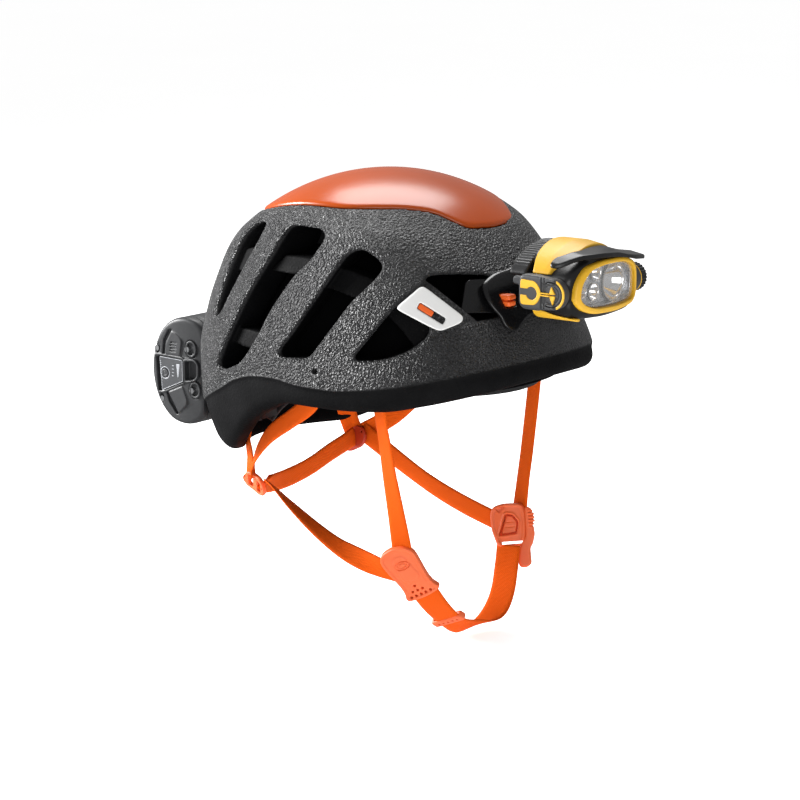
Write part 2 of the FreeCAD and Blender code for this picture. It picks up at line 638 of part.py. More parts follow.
def lamp_pivots():
    """Pivot pins on both sides; the left one is bored for the knob's shaft."""
    reach = "Dims.arm_inner + Dims.arm_thick - Dims.lamp_half_width"
    right = cylinder("pivot_right", "Dims.pivot_radius", reach,
                     ("Dims.tilt_x", "0 - Dims.arm_inner - Dims.arm_thick", "Dims.tilt_z"), (0, 1, 0))
    left = cylinder("pivot_left", "Dims.pivot_radius", reach,
                    ("Dims.tilt_x", "Dims.lamp_half_width", "Dims.tilt_z"), (0, 1, 0))
    bore = cylinder("pivot_bore", "Dims.knob_shaft + Dims.running_gap", "20",
                    ("Dims.tilt_x", "Dims.lamp_half_width + 0.5", "Dims.tilt_z"), (0, 1, 0))
    node(group("pivot_set", right, cut("pivot_left_piece", left, bore)), "tilt_pivots")
    face = "Dims.arm_inner + Dims.arm_thick + Dims.knob_gap"
    disc = cylinder("knob_disc", "Dims.knob_radius", "Dims.knob_thick",
                    ("Dims.tilt_x", face, "Dims.tilt_z"), (0, 1, 0))
    shaft = cylinder("knob_shaft", "Dims.knob_shaft", "Dims.knob_shaft_length",
                     ("Dims.tilt_x", f"{face} - Dims.knob_shaft_length + 0.5", "Dims.tilt_z"), (0, 1, 0))
    node(fuse("knob_piece", disc, shaft), "lamp_knob")


# ---------------------------------------------------------------- battery pack
SCREWS = [(-179.5, -5.5), (-175.4, -40.8), (-151.2, -3.5), (-147.5, -31.9)]
GAUGE = (-170.7, -22.3)
LABEL_PANEL = [(-177, -11.3), (-155.6, -11.7), (-155, -27), (-174, -34.4)]


def pack_outline():
    """The pack from its end: upright inner side, rounded outside."""
    corners = [(-137, -45), (-137, 8)]
    bends = [((-141, 16), (-156, 18.5)), ((-177, 7), (-184, -18)), ((-177.5, -44), (-156, -56.5)),
             ((-142, -54), (-137, -45))]
    edges = straight_edges(corners, close=False)
    start = corners[-1]
    for middle, end in bends:
        edges.append(Part.Arc(Vector(*start, 0), Vector(*middle, 0), Vector(*end, 0)))
        start = end
    return edges


def pack_slab(name, y, length):
    """A slice of the pack's outline, hollowed at the back to clear the helmet."""
    outline = sketch_of(name + "_outline", pack_outline(), facing((0, y, 0), (1, 0, 0), (0, 0, 1)))
    return cut(name, extruded(name + "_block", outline, length), pack_back)


def side_rod(name, radius, length, x, y, z):
    """A rod along +Y."""
    return cylinder(name, radius, length, (x, y, z), (0, 1, 0))


def battery_pack():
    """Casing, end caps, cells, screws, label panel and gauge button."""
    inner = size("pack_end") - size("pack_cap")
    levels = [f"Dims.cell_low_z + {step} * Dims.cell_pitch" for step in range(3)]
    bores = [side_rod(f"bore_{step}", "Dims.cell_bore", "Dims.cell_length + 2", "Dims.cell_x",
                      "0 - Dims.cell_length / 2 - 1", level) for step, level in enumerate(levels)]
    casing = pack_slab("pack_middle", inner - 0.2, f"{2 * inner - 0.4}")
    node(cut("casing_piece", casing, fuse("bores", *bores)), "pack_body")
    cells = [side_rod(f"cell_{step}", "Dims.cell_radius", "Dims.cell_length", "Dims.cell_x",
                      "0 - Dims.cell_length / 2", level) for step, level in enumerate(levels)]
    node(group("cell_set", *cells), "battery_cells")
    blank = pack_slab("end_blank", -inner, "Dims.pack_cap")
    face = "0 - Dims.pack_end"
    holes = [side_rod(f"screw_hole_{number}", "Dims.screw_radius", "Dims.screw_length", x, face, z)
             for number, (x, z) in enumerate(SCREWS)]
    plain = cut("end_plain", blank, fuse("screw_holes", *holes))
    gauge_hole = side_rod("gauge_hole", "Dims.gauge_radius + 0.3", "6", GAUGE[0], "-46.5", GAUGE[1])
    node(cut("end_right", plain, gauge_hole), "pack_end_cap_right")
    node(mirrored("end_left", plain), "pack_end_cap_left")
    right_screws = [side_rod(f"screw_{number}", "Dims.screw_radius", "Dims.screw_length - 0.8", x,
                             "0.8 - Dims.pack_end", z) for number, (x, z) in enumerate(SCREWS)]
    left_screws = [mirrored(screw.Name + "_left", screw) for screw in right_screws]
    node(group("screw_set", *(right_screws + left_screws)), "pack_screws")
    panel = prism("panel_blank", LABEL_PANEL, facing((0, -size("pack_end"), 0), (1, 0, 0), (0, 0, 1)),
                  "Dims.panel_thick")
    node(cut("panel_piece", panel, gauge_hole), "pack_label_panel")
    node(side_rod("gauge_piece", "Dims.gauge_radius", "Dims.gauge_length", GAUGE[0], "-46.6", GAUGE[1]),
         "gauge_button")
    inlet = cylinder("inlet_blank", "4.5", "11", ("-157", "16", "14"), (0, 0, 1))
    node(cut("inlet_piece", inlet, casing), "pack_cable_inlet")


def pack_bracket():
    """The wedge that fits the helmet's curved back and gives the pack an upright face."""
    face = rear_drum("bracket_drum", "Dims.pack_bracket_fit")
    zone = box("bracket_zone", ("60", "2 * Dims.pack_bracket_half", "Dims.pack_bracket_height"),
               ("-165", "0 - Dims.pack_bracket_half", "Dims.pack_bracket_bottom"))
    node(cut("bracket_piece", common("bracket_blank", face, zone), plate_low), "pack_bracket")


def rear_drum(name, out):
    """An upright oval drum just outside the widest foam section."""
    widest = 3
    oval = doc.addObject("Part::Ellipse", name + "_oval")
    bind(oval, MajorRadius=f"(Dims.front_{widest} + Dims.rear_{widest}) / 2 + {out}",
         MinorRadius=f"Dims.half_{widest} + {out}",
         x=f"(Dims.front_{widest} - Dims.rear_{widest}) / 2", z="-120")
    return extruded(name, oval, "260")


# ---------------------------------------------------------------- webbing and its fittings
def webbing(name, route, width, label):
    """A flat strap through route points; each is (position, direction its face looks)."""
    half, thin = size(width) / 2, size("web_thick") / 2
    centres = [Vector(*place) for place, look in route]
    loops = []
    for index, (place, look) in enumerate(route):
        before, after = centres[max(index - 1, 0)], centres[min(index + 1, len(centres) - 1)]
        along = (after - before).normalize()
        across = along.cross(Vector(*look)).normalize()
        out = across.cross(along)
        spot = centres[index]
        loops.append([spot + across * half * a + out * thin * b
                      for a, b in ((1, 1), (1, -1), (-1, -1), (-1, 1))])
    faces = []
    for first, second in zip(loops, loops[1:]):
        for corner in range(4):
            a, b = first[corner], first[(corner + 1) % 4]
            c, d = second[(corner + 1) % 4], second[corner]
            faces.append(Part.Face(Part.makePolygon([a, b, c, a])))
            faces.append(Part.Face(Part.makePolygon([a, c, d, a])))
    for end in (loops[0], loops[-1]):
        faces.append(Part.Face(Part.makePolygon(end + end[:1])))
    strap = doc.addObject("Part::Feature", name)
    strap.Shape = Part.Solid(Part.Shell(faces))
    if strap.Shape.Volume < 0:
        strap.Shape = strap.Shape.reversed()
    return node(strap, label)


def flip(route):
    """The same route on the other side."""
    return [((x, -y, z), (u, -v, w)) for (x, y, z), (u, v, w) in route]


FRONT_STRAP = [((51, -86, 9), (0, -1, 0)), ((51, -85.5, -12), (0.1, -1, 0)),
               ((50.5, -77, -60), (0.2, -1, -0.1)), ((50, -65.2, -107), (0.25, -1, -0.2))]
SIDE_RISER = [((-5, -82, -2), (0, -1, 0)), ((-13, -81, -18), (0, -1, 0)), ((-38, -75, -36), (-0.2, -1, 0)),
              ((-62, -68, -54), (-0.4, -1, 0)), ((-69, -62, -74), (-0.6, -1, 0))]
REAR_RISER = [((-85, -50, -42), (-0.8, -0.6, 0)), ((-83, -54, -58), (-0.8, -0.6, 0)),
              ((-76, -59, -75), (-0.8, -0.6, 0))]
REAR_STRAP_RIGHT = [((-64, -61.5, -84), (-0.3, -1, 0)), ((-42, -64, -92), (-0.1, -1, 0.1)),
                    ((-15, -65, -102), (0, -1, 0.1)), ((14, -62, -114), (0.1, -1, 0)),
                    ((38, -58, -121), (0.2, -1, -0.2))]
REAR_STRAP_LEFT = [((-70, 61.5, -71), (-0.3, 1, 0)), ((-28, 65, -90), (0, 1, 0.1)),
                   ((12, 63, -105), (0, 1, 0)), ((37, 60, -114), (0.1, 1, 0))]
NAPE_STRAP = [((-76, -54, -83), (-0.6, -0.7, 0)), ((-81, -30, -86), (-1, -0.3, 0)),
              ((-83, 0, -84), (-1, 0, 0)), ((-83, 30, -78), (-1, 0.3, 0)), ((-81, 54, -70), (-0.8, 0.6, 0))]
CHIN_STRAP = [((50.4, -44, -140.5), (0, -0.56, -0.83)), ((51.2, -12, -165.5), (0, -0.5, -0.85)),
              ((53, 12, -175), (0, 0.1, -1)), ((55, 34, -168), (0, 0.7, -0.7)),
              ((55.5, 46, -150), (0, 1, -0.3)), ((54, 50.5, -136), (0, 1, -0.1))]


def straps():
    """All the webbing."""
    for side, turn in (("right", lambda route: route), ("left", flip)):
        webbing(f"front_web_{side}", turn(FRONT_STRAP), "side_web", f"front_strap_{side}")
        webbing(f"riser_web_{side}", turn(SIDE_RISER), "side_web", f"side_riser_{side}")
    webbing("rear_web_right", REAR_RISER, "side_web", "rear_riser_right")
    webbing("rear_web_left", [((x, y, z + (12 if z < -70 else 0)), look)
                              for (x, y, z), look in flip(REAR_RISER)], "side_web", "rear_riser_left")
    webbing("ear_web_right", REAR_STRAP_RIGHT, "side_web", "rear_strap_right")
    webbing("ear_web_left", REAR_STRAP_LEFT, "side_web", "rear_strap_left")
    webbing("nape_web", NAPE_STRAP, "side_web", "nape_strap")
    webbing("chin_web", CHIN_STRAP, "chin_web", "chin_strap")


def plate(name, sizes, centre, across, up):
    """A plate centred at a point: width across, height up, thickness outwards."""
    blank = doc.addObject("Part::Box", name)
    bind(blank, Length=sizes[0], Width=sizes[1], Height=sizes[2])
    frame = facing(centre, across, up)
    corner = Vector(-float(sizes[0]) / 2, -float(sizes[1]) / 2, -float(sizes[2]) / 2)
    blank.Placement = Placement(frame.multVec(corner), frame.Rotation)
    return blank


GUIDE_DOWN = (0.06, 0.56, -0.83)
SLIDER_ALONG = (0.8, 32, -25)
BUCKLE_DOWN = (0.08, -0.42, -0.9)
BUCKLE_CENTRE = (49, 58, -117)


def fittings(cradle_room):
    """Strap adjusters, chin guide, slider, buckle and anchors clear of the cradle's room."""
    node(plate("adjuster_a", ("20", "15", "4"), (-72, -60.5, -81), (0.9, -0.3, -0.3), (0.3, 0, 1)),
         "strap_adjuster_right")
    node(plate("adjuster_b", ("20", "15", "4"), (-79, 60.5, -69), (0.9, 0.3, -0.3), (0.3, 0, 1)),
         "strap_adjuster_left")
    up = tuple(-part for part in GUIDE_DOWN)
    node(plate("guide_piece", ("24", "40", "4"), (49.5, -54, -124), (1, 0, 0.07), up), "chin_guide")
    along = Vector(*SLIDER_ALONG).normalize()
    middle = Vector(*CHIN_STRAP[0][0]) + along * 29
    bar = plate("slider_bar", ("25", "6", "5"), tuple(middle), (1, 0, 0.03), tuple(along))
    gap = plate("slider_gap", ("20", "10", "2.4"), tuple(middle), (1, 0, 0.03), tuple(along))
    node(cut("slider_piece", bar, gap), "chin_slider")
    raised = Vector(*BUCKLE_DOWN).negative().normalize()
    across = (1, 0, 0.09)
    outward = raised.cross(Vector(*across)).normalize()
    middle = Vector(*BUCKLE_CENTRE)
    frame = plate("buckle_plate", ("24", "38", "5"), tuple(middle), across, tuple(raised))
    spot = middle + raised * 2
    hole = plate("buckle_hole", ("10.6", "12.6", "9"), tuple(spot), across, tuple(raised))
    node(cut("buckle_frame_piece", frame, hole), "buckle_frame")
    node(plate("buckle_button_piece", ("10", "12", "4"), tuple(spot + outward * 1.4), across, tuple(raised)),
         "buckle_button")
    node(plate("buckle_tongue_piece", ("6", "40", "8"), tuple(middle + Vector(15.2, -1, -2.6)), across,
               tuple(raised)), "buckle_tongue")
    anchor_blocks = [box("front_anchor", ("14", "8", "7"), ("44", "-88", "10")),
                     common("side_anchor", box("side_anchor_block", ("14", "14", "8"), ("-12", "-95", "-1")),
                            cavity),
                     cut("rear_anchor", common("rear_anchor_fit", box("rear_anchor_block", ("22", "18", "8"),
                                                                      ("-97", "-62", "-41")), cavity),
                         cradle_room)]
    others = [mirrored(block.Name + "_left", block) for block in anchor_blocks]
    node(group("anchor_set", *(anchor_blocks + others)), "strap_anchors")


# ---------------------------------------------------------------- build, check and write
pack_back = rear_drum("pack_back", "Dims.pack_fit")
foam_shell()
crown_pieces()
cradle_room = headband()
crown_pads()
clips()
lamp_bracket()
bracket_arms()
lamp_housing()
arch_strip()
heat_sink()
lamp_front()
lamp_pivots()
pack_bracket()
battery_pack()
straps()
fittings(cradle_room)
doc.recompute()

for thing in doc.Objects:
    if "Invalid" in thing.State or "Error" in thing.State:
        raise RuntimeError(f"{thing.Name} ({thing.Label}) failed: {thing.State}")
for thing in nodes:
    if thing.Shape.isNull() or not thing.Shape.isValid() or not thing.Shape.Solids:
        raise RuntimeError(f"{thing.Label} has no valid solid")
for thing in nodes:
    thing.Shape.exportStep(f"parts/{thing.Label}.step")
    limits = thing.Shape.BoundBox
    print(f"{thing.Label}: {len(thing.Shape.Solids)} solid(s), volume {thing.Shape.Volume:.0f}, "
          f"X {limits.XMin:.1f}..{limits.XMax:.1f}, Y {limits.YMin:.1f}..{limits.YMax:.1f}, "
          f"Z {limits.ZMin:.1f}..{limits.ZMax:.1f}")
print(len(nodes), "nodes")
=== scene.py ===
"""Climbing helmet with a front lamp and a rear battery pack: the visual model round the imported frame.

Shapes are worked out in millimetres in the frame's own axes (+X forward, +Y to the wearer's left,
+Z up). Solid pieces are distance fields, negative inside, which are meshed once they are complete.
Objects are in metres.
"""

import json
import math
from functools import reduce

import bpy
import numpy as np
import openvdb
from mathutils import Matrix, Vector

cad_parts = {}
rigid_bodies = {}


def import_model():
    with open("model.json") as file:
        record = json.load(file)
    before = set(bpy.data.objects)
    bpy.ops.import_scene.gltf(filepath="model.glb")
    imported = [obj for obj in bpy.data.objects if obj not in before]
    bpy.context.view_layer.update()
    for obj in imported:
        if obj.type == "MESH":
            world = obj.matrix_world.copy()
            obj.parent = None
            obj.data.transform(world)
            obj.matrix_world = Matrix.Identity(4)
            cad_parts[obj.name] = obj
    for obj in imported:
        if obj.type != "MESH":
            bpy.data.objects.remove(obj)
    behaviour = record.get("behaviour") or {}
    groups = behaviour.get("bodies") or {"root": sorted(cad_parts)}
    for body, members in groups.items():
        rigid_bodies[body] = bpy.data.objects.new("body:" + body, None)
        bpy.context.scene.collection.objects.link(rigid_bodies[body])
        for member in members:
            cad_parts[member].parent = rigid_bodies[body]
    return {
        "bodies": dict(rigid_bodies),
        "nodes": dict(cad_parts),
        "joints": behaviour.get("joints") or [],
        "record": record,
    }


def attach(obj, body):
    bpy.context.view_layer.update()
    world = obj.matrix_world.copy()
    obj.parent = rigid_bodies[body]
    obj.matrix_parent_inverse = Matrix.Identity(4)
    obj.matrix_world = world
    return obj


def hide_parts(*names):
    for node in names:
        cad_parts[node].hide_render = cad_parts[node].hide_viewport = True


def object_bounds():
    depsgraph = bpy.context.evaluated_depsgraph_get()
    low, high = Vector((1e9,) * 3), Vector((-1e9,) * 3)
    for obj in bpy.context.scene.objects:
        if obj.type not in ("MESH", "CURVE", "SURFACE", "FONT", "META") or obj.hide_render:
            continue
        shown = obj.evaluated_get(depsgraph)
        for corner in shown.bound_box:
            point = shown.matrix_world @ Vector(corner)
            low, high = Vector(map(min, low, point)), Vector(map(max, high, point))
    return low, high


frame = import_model()
CAD_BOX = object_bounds()
MM = 0.001
FINE = 1.0


# ================================================================ fields
class Grid:
    """Sample points in a box, as three arrays that broadcast together."""

    def __init__(self, low, high, step):
        self.low = np.array(low, dtype=float)
        self.step = step * FINE
        axes = [np.arange(a, b + self.step, self.step, dtype=np.float32) for a, b in zip(low, high)]
        self.x = axes[0][:, None, None]
        self.y = axes[1][None, :, None]
        self.z = axes[2][None, None, :]


class Spots:
    """Loose points with the same x, y and z as a grid."""

    def __init__(self, x, y, z):
        self.x, self.y, self.z = x, y, z


def smooth_max(a, b, blend):
    """The larger of two fields, with the edge rounded over a blend width."""
    share = np.clip(0.5 + 0.5 * (a - b) / blend, 0, 1)
    return b + (a - b) * share + blend * share * (1 - share)


def smooth_min(a, b, blend):
    """The smaller of two fields, with a fillet."""
    return -smooth_max(-a, -b, blend)


def shared(*fields):
    """The space inside all of several fields."""
    return reduce(np.maximum, fields)


def cut(field, tool, blend=0.0):
    """A field with a tool's shape taken out of it, sharp or with a rounded edge."""
    return smooth_max(field, -tool, blend) if blend else np.maximum(field, -tool)


def away_from(u, v, centre):
    """Distance from an axis that crosses a plane at a centre."""
    return np.sqrt((u - centre[0]) ** 2 + (v - centre[1]) ** 2)


def ease(value, low, high):
    """0 below low, 1 above high, smooth between."""
    share = np.clip((value - low) / (high - low), 0, 1)
    return share * share * (3 - 2 * share)


def monotone_curve(places, heights, query):
    """A smooth curve through points that never overshoots them."""
    x, y = np.asarray(places, float), np.asarray(heights, float)
    gaps = np.diff(x)
    slopes = np.diff(y) / gaps
    tangents = np.concatenate([slopes[:1], np.zeros(len(x) - 2), slopes[-1:]])
    for i in range(1, len(x) - 1):
        if slopes[i - 1] * slopes[i] > 0:
            first, second = 2 * gaps[i] + gaps[i - 1], gaps[i] + 2 * gaps[i - 1]
            tangents[i] = (first + second) / (first / slopes[i - 1] + second / slopes[i])
    index = np.clip(np.searchsorted(x, query) - 1, 0, len(gaps) - 1)
    t = (np.clip(query, x[0], x[-1]) - x[index]) / gaps[index]
    return ((2 * t**3 - 3 * t**2 + 1) * y[index] + (t**3 - 2 * t**2 + t) * gaps[index] * tangents[index]
            + (3 * t**2 - 2 * t**3) * y[index + 1] + (t**3 - t**2) * gaps[index] * tangents[index + 1])


def curve_along(places, heights, query):
    """A smooth curve as a single-precision field."""
    return monotone_curve(places, heights, query).astype(np.float32)


def halved(low, high, rounds, inside):
    """Narrows each span from low to high to the spot where a test stops holding."""
    for _ in range(rounds):
        middle = (low + high) / 2
        held = inside(middle)
        low, high = np.where(held, middle, low), np.where(held, high, middle)
    return low, high


def soften(corners, radius, steps=5):
    """A polygon with every corner replaced by a short curve."""
    points = np.asarray(corners, float)
    result = []
    for i, corner in enumerate(points):
        before, after = points[i - 1], points[(i + 1) % len(points)]
        arms = []
        for other in (before, after):
            reach = np.linalg.norm(other - corner)
            arms.append(corner + (other - corner) * min(radius, 0.45 * reach) / max(reach, 1e-9))
        for t in np.linspace(0, 1, steps):
            result.append((1 - t) ** 2 * arms[0] + 2 * t * (1 - t) * corner + t * t * arms[1])
    return np.array(result)


def polygon(u, v, corners):
    """Signed distance to a polygon in a plane."""
    points = np.asarray(corners, float)
    distance = np.full(np.broadcast(u, v).shape, 1e9)
    inside = np.ones(distance.shape)
    for i in range(len(points)):
        ax, ay = points[i]
        bx, by = points[i - 1]
        ex, ey = bx - ax, by - ay
        wx, wy = u - ax, v - ay
        share = np.clip((wx * ex + wy * ey) / max(ex * ex + ey * ey, 1e-12), 0, 1)
        dx, dy = wx - ex * share, wy - ey * share
        distance = np.minimum(distance, dx * dx + dy * dy)
        up, down, left = v >= ay, v < by, ex * wy > ey * wx
        inside = np.where((up & down & left) | (~up & ~down & ~left), -inside, inside)
    return inside * np.sqrt(distance)


def looked_up(u, v, corners):
    """The same distance for 3D arrays: u varies over the first two axes, v over the last."""
    spacing = 0.35
    low = float(u.min())
    table_u = np.arange(low, float(u.max()) + 2 * spacing, spacing)
    table = polygon(table_u[:, None], np.asarray(v, float).reshape(1, -1), corners).astype(np.float32)
    place = (u[:, :, 0] - low) / spacing
    index = np.clip(place.astype(int), 0, len(table_u) - 2)
    share = (place - index)[:, :, None].astype(np.float32)
    return table[index] * (1 - share) + table[index + 1] * share


def block(g, centre, half, radius=0.0):
    """A box with rounded edges."""
    q = [np.abs(axis - c) - (h - radius) for axis, c, h in zip((g.x, g.y, g.z), centre, half)]
    outside = np.sqrt(sum(np.maximum(part, 0) ** 2 for part in q))
    return outside + np.minimum(shared(*q), 0) - radius


def rod(g, base, tip, radius, edge=0.0):
    """A cylinder between two points, with rounded ends."""
    base, tip = np.array(base, float), np.array(tip, float)
    axis = tip - base
    length = np.linalg.norm(axis)
    axis /= length
    along = sum((part - start) * way for part, start, way in zip((g.x, g.y, g.z), base, axis))
    away = np.sqrt(np.maximum(sum((part - start - along * way) ** 2
                                  for part, start, way in zip((g.x, g.y, g.z), base, axis)), 0))
    radial, end = away - radius + edge, np.abs(along - length / 2) - length / 2 + edge
    corner = np.sqrt(np.maximum(radial, 0) ** 2 + np.maximum(end, 0) ** 2)
    return corner + np.minimum(np.maximum(radial, end), 0) - edge


# ================================================================ meshes
def linked(name, data):
    """An object in the scene for a mesh, a light or a camera."""
    thing = bpy.data.objects.new(name, data)
    bpy.context.scene.collection.objects.link(thing)
    return thing


def new_object(name, points, faces, smooth=True):
    """An object from points in millimetres."""
    mesh = bpy.data.meshes.new(name)
    mesh.from_pydata((np.asarray(points, float) * MM).tolist(), [], [list(face) for face in faces])
    mesh.polygons.foreach_set("use_smooth", np.full(len(mesh.polygons), smooth))
    mesh.update()
    return linked(name, mesh)


def quad_object(name, points, quads):
    """An object from arrays of points in millimetres and quads: quick for large meshes."""
    mesh = bpy.data.meshes.new(name)
    mesh.vertices.add(len(points))
    mesh.vertices.foreach_set("co", (np.asarray(points, np.float32) * MM).ravel())
    mesh.loops.add(len(quads) * 4)
    mesh.loops.foreach_set("vertex_index", np.asarray(quads, np.int32).ravel())
    mesh.polygons.add(len(quads))
    mesh.polygons.foreach_set("loop_start", np.arange(0, len(quads) * 4, 4, dtype=np.int32))
    mesh.polygons.foreach_set("use_smooth", np.ones(len(quads), dtype=bool))
    mesh.update(calc_edges=True)
    mesh.validate()
    return linked(name, mesh)


def tube_faces(rings, spokes):
    """Quads between neighbouring rings of points."""
    return [(i * spokes + k, i * spokes + (k + 1) % spokes, (i + 1) * spokes + (k + 1) % spokes,
             (i + 1) * spokes + k) for i in range(rings - 1) for k in range(spokes)]


def surface(field, g):
    """Points and quads on the zero surface of a field."""
    band = 3 * g.step
    values = np.clip(field, -band, band).astype(np.float32)
    volume = openvdb.FloatGrid(band)
    volume.copyFromArray(np.ascontiguousarray(values))
    points, quads = volume.convertToQuads(isovalue=0.0)
    return points * g.step + g.low, quads[:, ::-1]


def fair(points, quads):
    """Moves each point part of the way to the mean of its neighbours and back, to take out ripples."""
    edges = np.concatenate([quads[:, [0, 1]], quads[:, [1, 2]], quads[:, [2, 3]], quads[:, [3, 0]]])
    count = np.bincount(edges.ravel(), minlength=len(points))[:, None]
    for weight in (0.5, -0.52) * 2:
        total = np.zeros_like(points)
        for axis in range(3):
            total[:, axis] = (np.bincount(edges[:, 0], points[edges[:, 1], axis], len(points))
                              + np.bincount(edges[:, 1], points[edges[:, 0], axis], len(points)))
        points = points + (total / np.maximum(count, 1) - points) * weight
    return points


def solid(name, field, g, frame=None):
    """A field's surface as an object, from a local frame if there is one."""
    points, quads = surface(field, g)
    points = fair(points, quads)
    return quad_object(name, frame.world(points) if frame else points, quads)


def mirror_field(field):
    """A field given for y from the low side up to 0, completed on the other side."""
    return np.concatenate([field, field[:, -2::-1]], axis=1)


def mirrored_copy(source, name):
    """A left-hand copy of a right-hand piece."""
    mesh = source.data.copy()
    places = np.empty(len(mesh.vertices) * 3, np.float32)
    mesh.vertices.foreach_get("co", places)
    places[1::3] *= -1
    mesh.vertices.foreach_set("co", places)
    mesh.flip_normals()
    mesh.update()
    return linked(name, mesh)


def attribute(thing, name, values):
    """A number per point that a material can read."""
    layer = thing.data.attributes.new(name, "FLOAT", "POINT")
    layer.data.foreach_set("value", np.asarray(values, np.float32))


def place(thing, body, slot, *nodes, look=None):
    """Gives a piece its body and a material, the slot's own unless a look is named, and hides the frame
    nodes it stands for.
    """
    thing.data.materials.clear()
    thing.data.materials.append(MATERIALS[look or slot])
    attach(thing, body)
    if nodes:
        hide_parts(*nodes)
    return thing


def piece(node, field, g, body, slot, look=None, frame=None):
    """A solid that stands for one frame node."""
    return place(solid(f"{node}_visual", field, g, frame), body, slot, node, look=look)


def pair(stem, field, g, bodies, slot):
    """A solid on the right and its mirror image on the left, each for its own frame node."""
    right = piece(f"{stem}_right", field, g, bodies[0], slot)
    place(mirrored_copy(right, f"{stem}_left_visual"), bodies[1], slot, f"{stem}_left")


# ================================================================ the helmet's own surfaces
# Height, front reach, rear reach, half width and wall of the body's sections.
SECTIONS = np.array([
    (-80, 90, 108, 84, 17), (-50, 118, 136, 101, 17), (-25, 130, 142.5, 107.5, 19),
    (5, 136, 142.5, 110, 21), (36, 122, 135.5, 106, 24), (60, 107, 127, 99, 25),
    (92, 82, 113, 88, 26), (125, 58, 98, 72, 26), (150, 38, 84, 58, 26)], float)
SQUARENESS = 2.15
DOME_CENTRE = (-10.0, -20.0)
DOME_RADII = (138.0, 151.0, 147.0)
CROWN_WALL = 30.0
BROW_WALL = 19.0
# The wavy rim as (forward, height), and the line where the grained skin ends above it.
RIM = np.array([(-160, -61), (-112, -63), (-94, -62), (-78, -55), (-62, -43.5), (-46, -30), (-30, -20.7),
                (-8, -13), (28, -12.8), (58, -11.3), (82, -6.5), (108, 0.5), (134, 8), (160, 9)], float)
SKIN_END = np.array([(-160, -50), (-99, -23), (-74, -12), (-54, -2.5), (-36, 2.3), (-19, 3.6), (6, 1.4),
                     (29, 1.0), (47, 2.6), (74, 6.5), (95, 11.5), (112, 15.5), (135, 20), (160, 22)], float)


def section(z, column):
    """One column of the section table at any height."""
    return curve_along(SECTIONS[:, 0], SECTIONS[:, column], z)


def side_field(g, wall=0.0):
    """The body's side surface; wall is how much of the wall's thickness to go in."""
    z = np.clip(g.z, SECTIONS[0, 0], SECTIONS[-1, 0])
    depth = wall * section(z, 4)
    reach = np.where(g.x > 0, section(z, 1) - depth, section(z, 2) - depth)
    half = section(z, 3) - depth
    ratio = ((np.abs(g.x) / reach) ** SQUARENESS + (np.abs(g.y) / half) ** SQUARENESS) ** (1 / SQUARENESS)
    return (ratio - 1) * np.sqrt(g.x**2 + g.y**2) / np.maximum(ratio, 1e-6) * 0.9


def dome_field(g, crown=0.0, brow=0.0):
    """The crown ellipsoid, or a smaller one inside it."""
    radii = [radius - inset for radius, inset in zip(DOME_RADII, (brow, crown, crown))]
    parts = (g.x - DOME_CENTRE[0], g.y, g.z - DOME_CENTRE[1])
    first = np.sqrt(sum((part / radius) ** 2 for part, radius in zip(parts, radii)))
    second = np.sqrt(sum((part / radius**2) ** 2 for part, radius in zip(parts, radii)))
    return first * (first - 1) / np.maximum(second, 1e-9)


def skin_field(g):
    """The outside of the helmet without its rim."""
    return smooth_max(side_field(g), dome_field(g), 4.0)


def hollow_field(g):
    """The inside of the shell."""
    return smooth_max(side_field(g, 1.0), dome_field(g, CROWN_WALL, BROW_WALL), 8.0)


def rim_line(x):
    """Rim height."""
    return curve_along(*RIM.T, x)


def skin_end(x):
    """Height where the grained skin ends."""
    return curve_along(*SKIN_END.T, x)


def side_place(g, turn):
    """Distance along and out of a vertical plane on the right, turned towards the back."""
    angle = math.radians(turn)
    along = g.x * math.cos(angle) - g.y * math.sin(angle)
    out = -g.x * math.sin(angle) - g.y * math.cos(angle)
    return along, out


def side_prism(g, turn, corners, radius):
    """A polygon seen from the right side, pushed straight through."""
    along, out = side_place(g, turn)
    return np.maximum(looked_up(along, g.z, soften(corners, radius)), 45 - out)


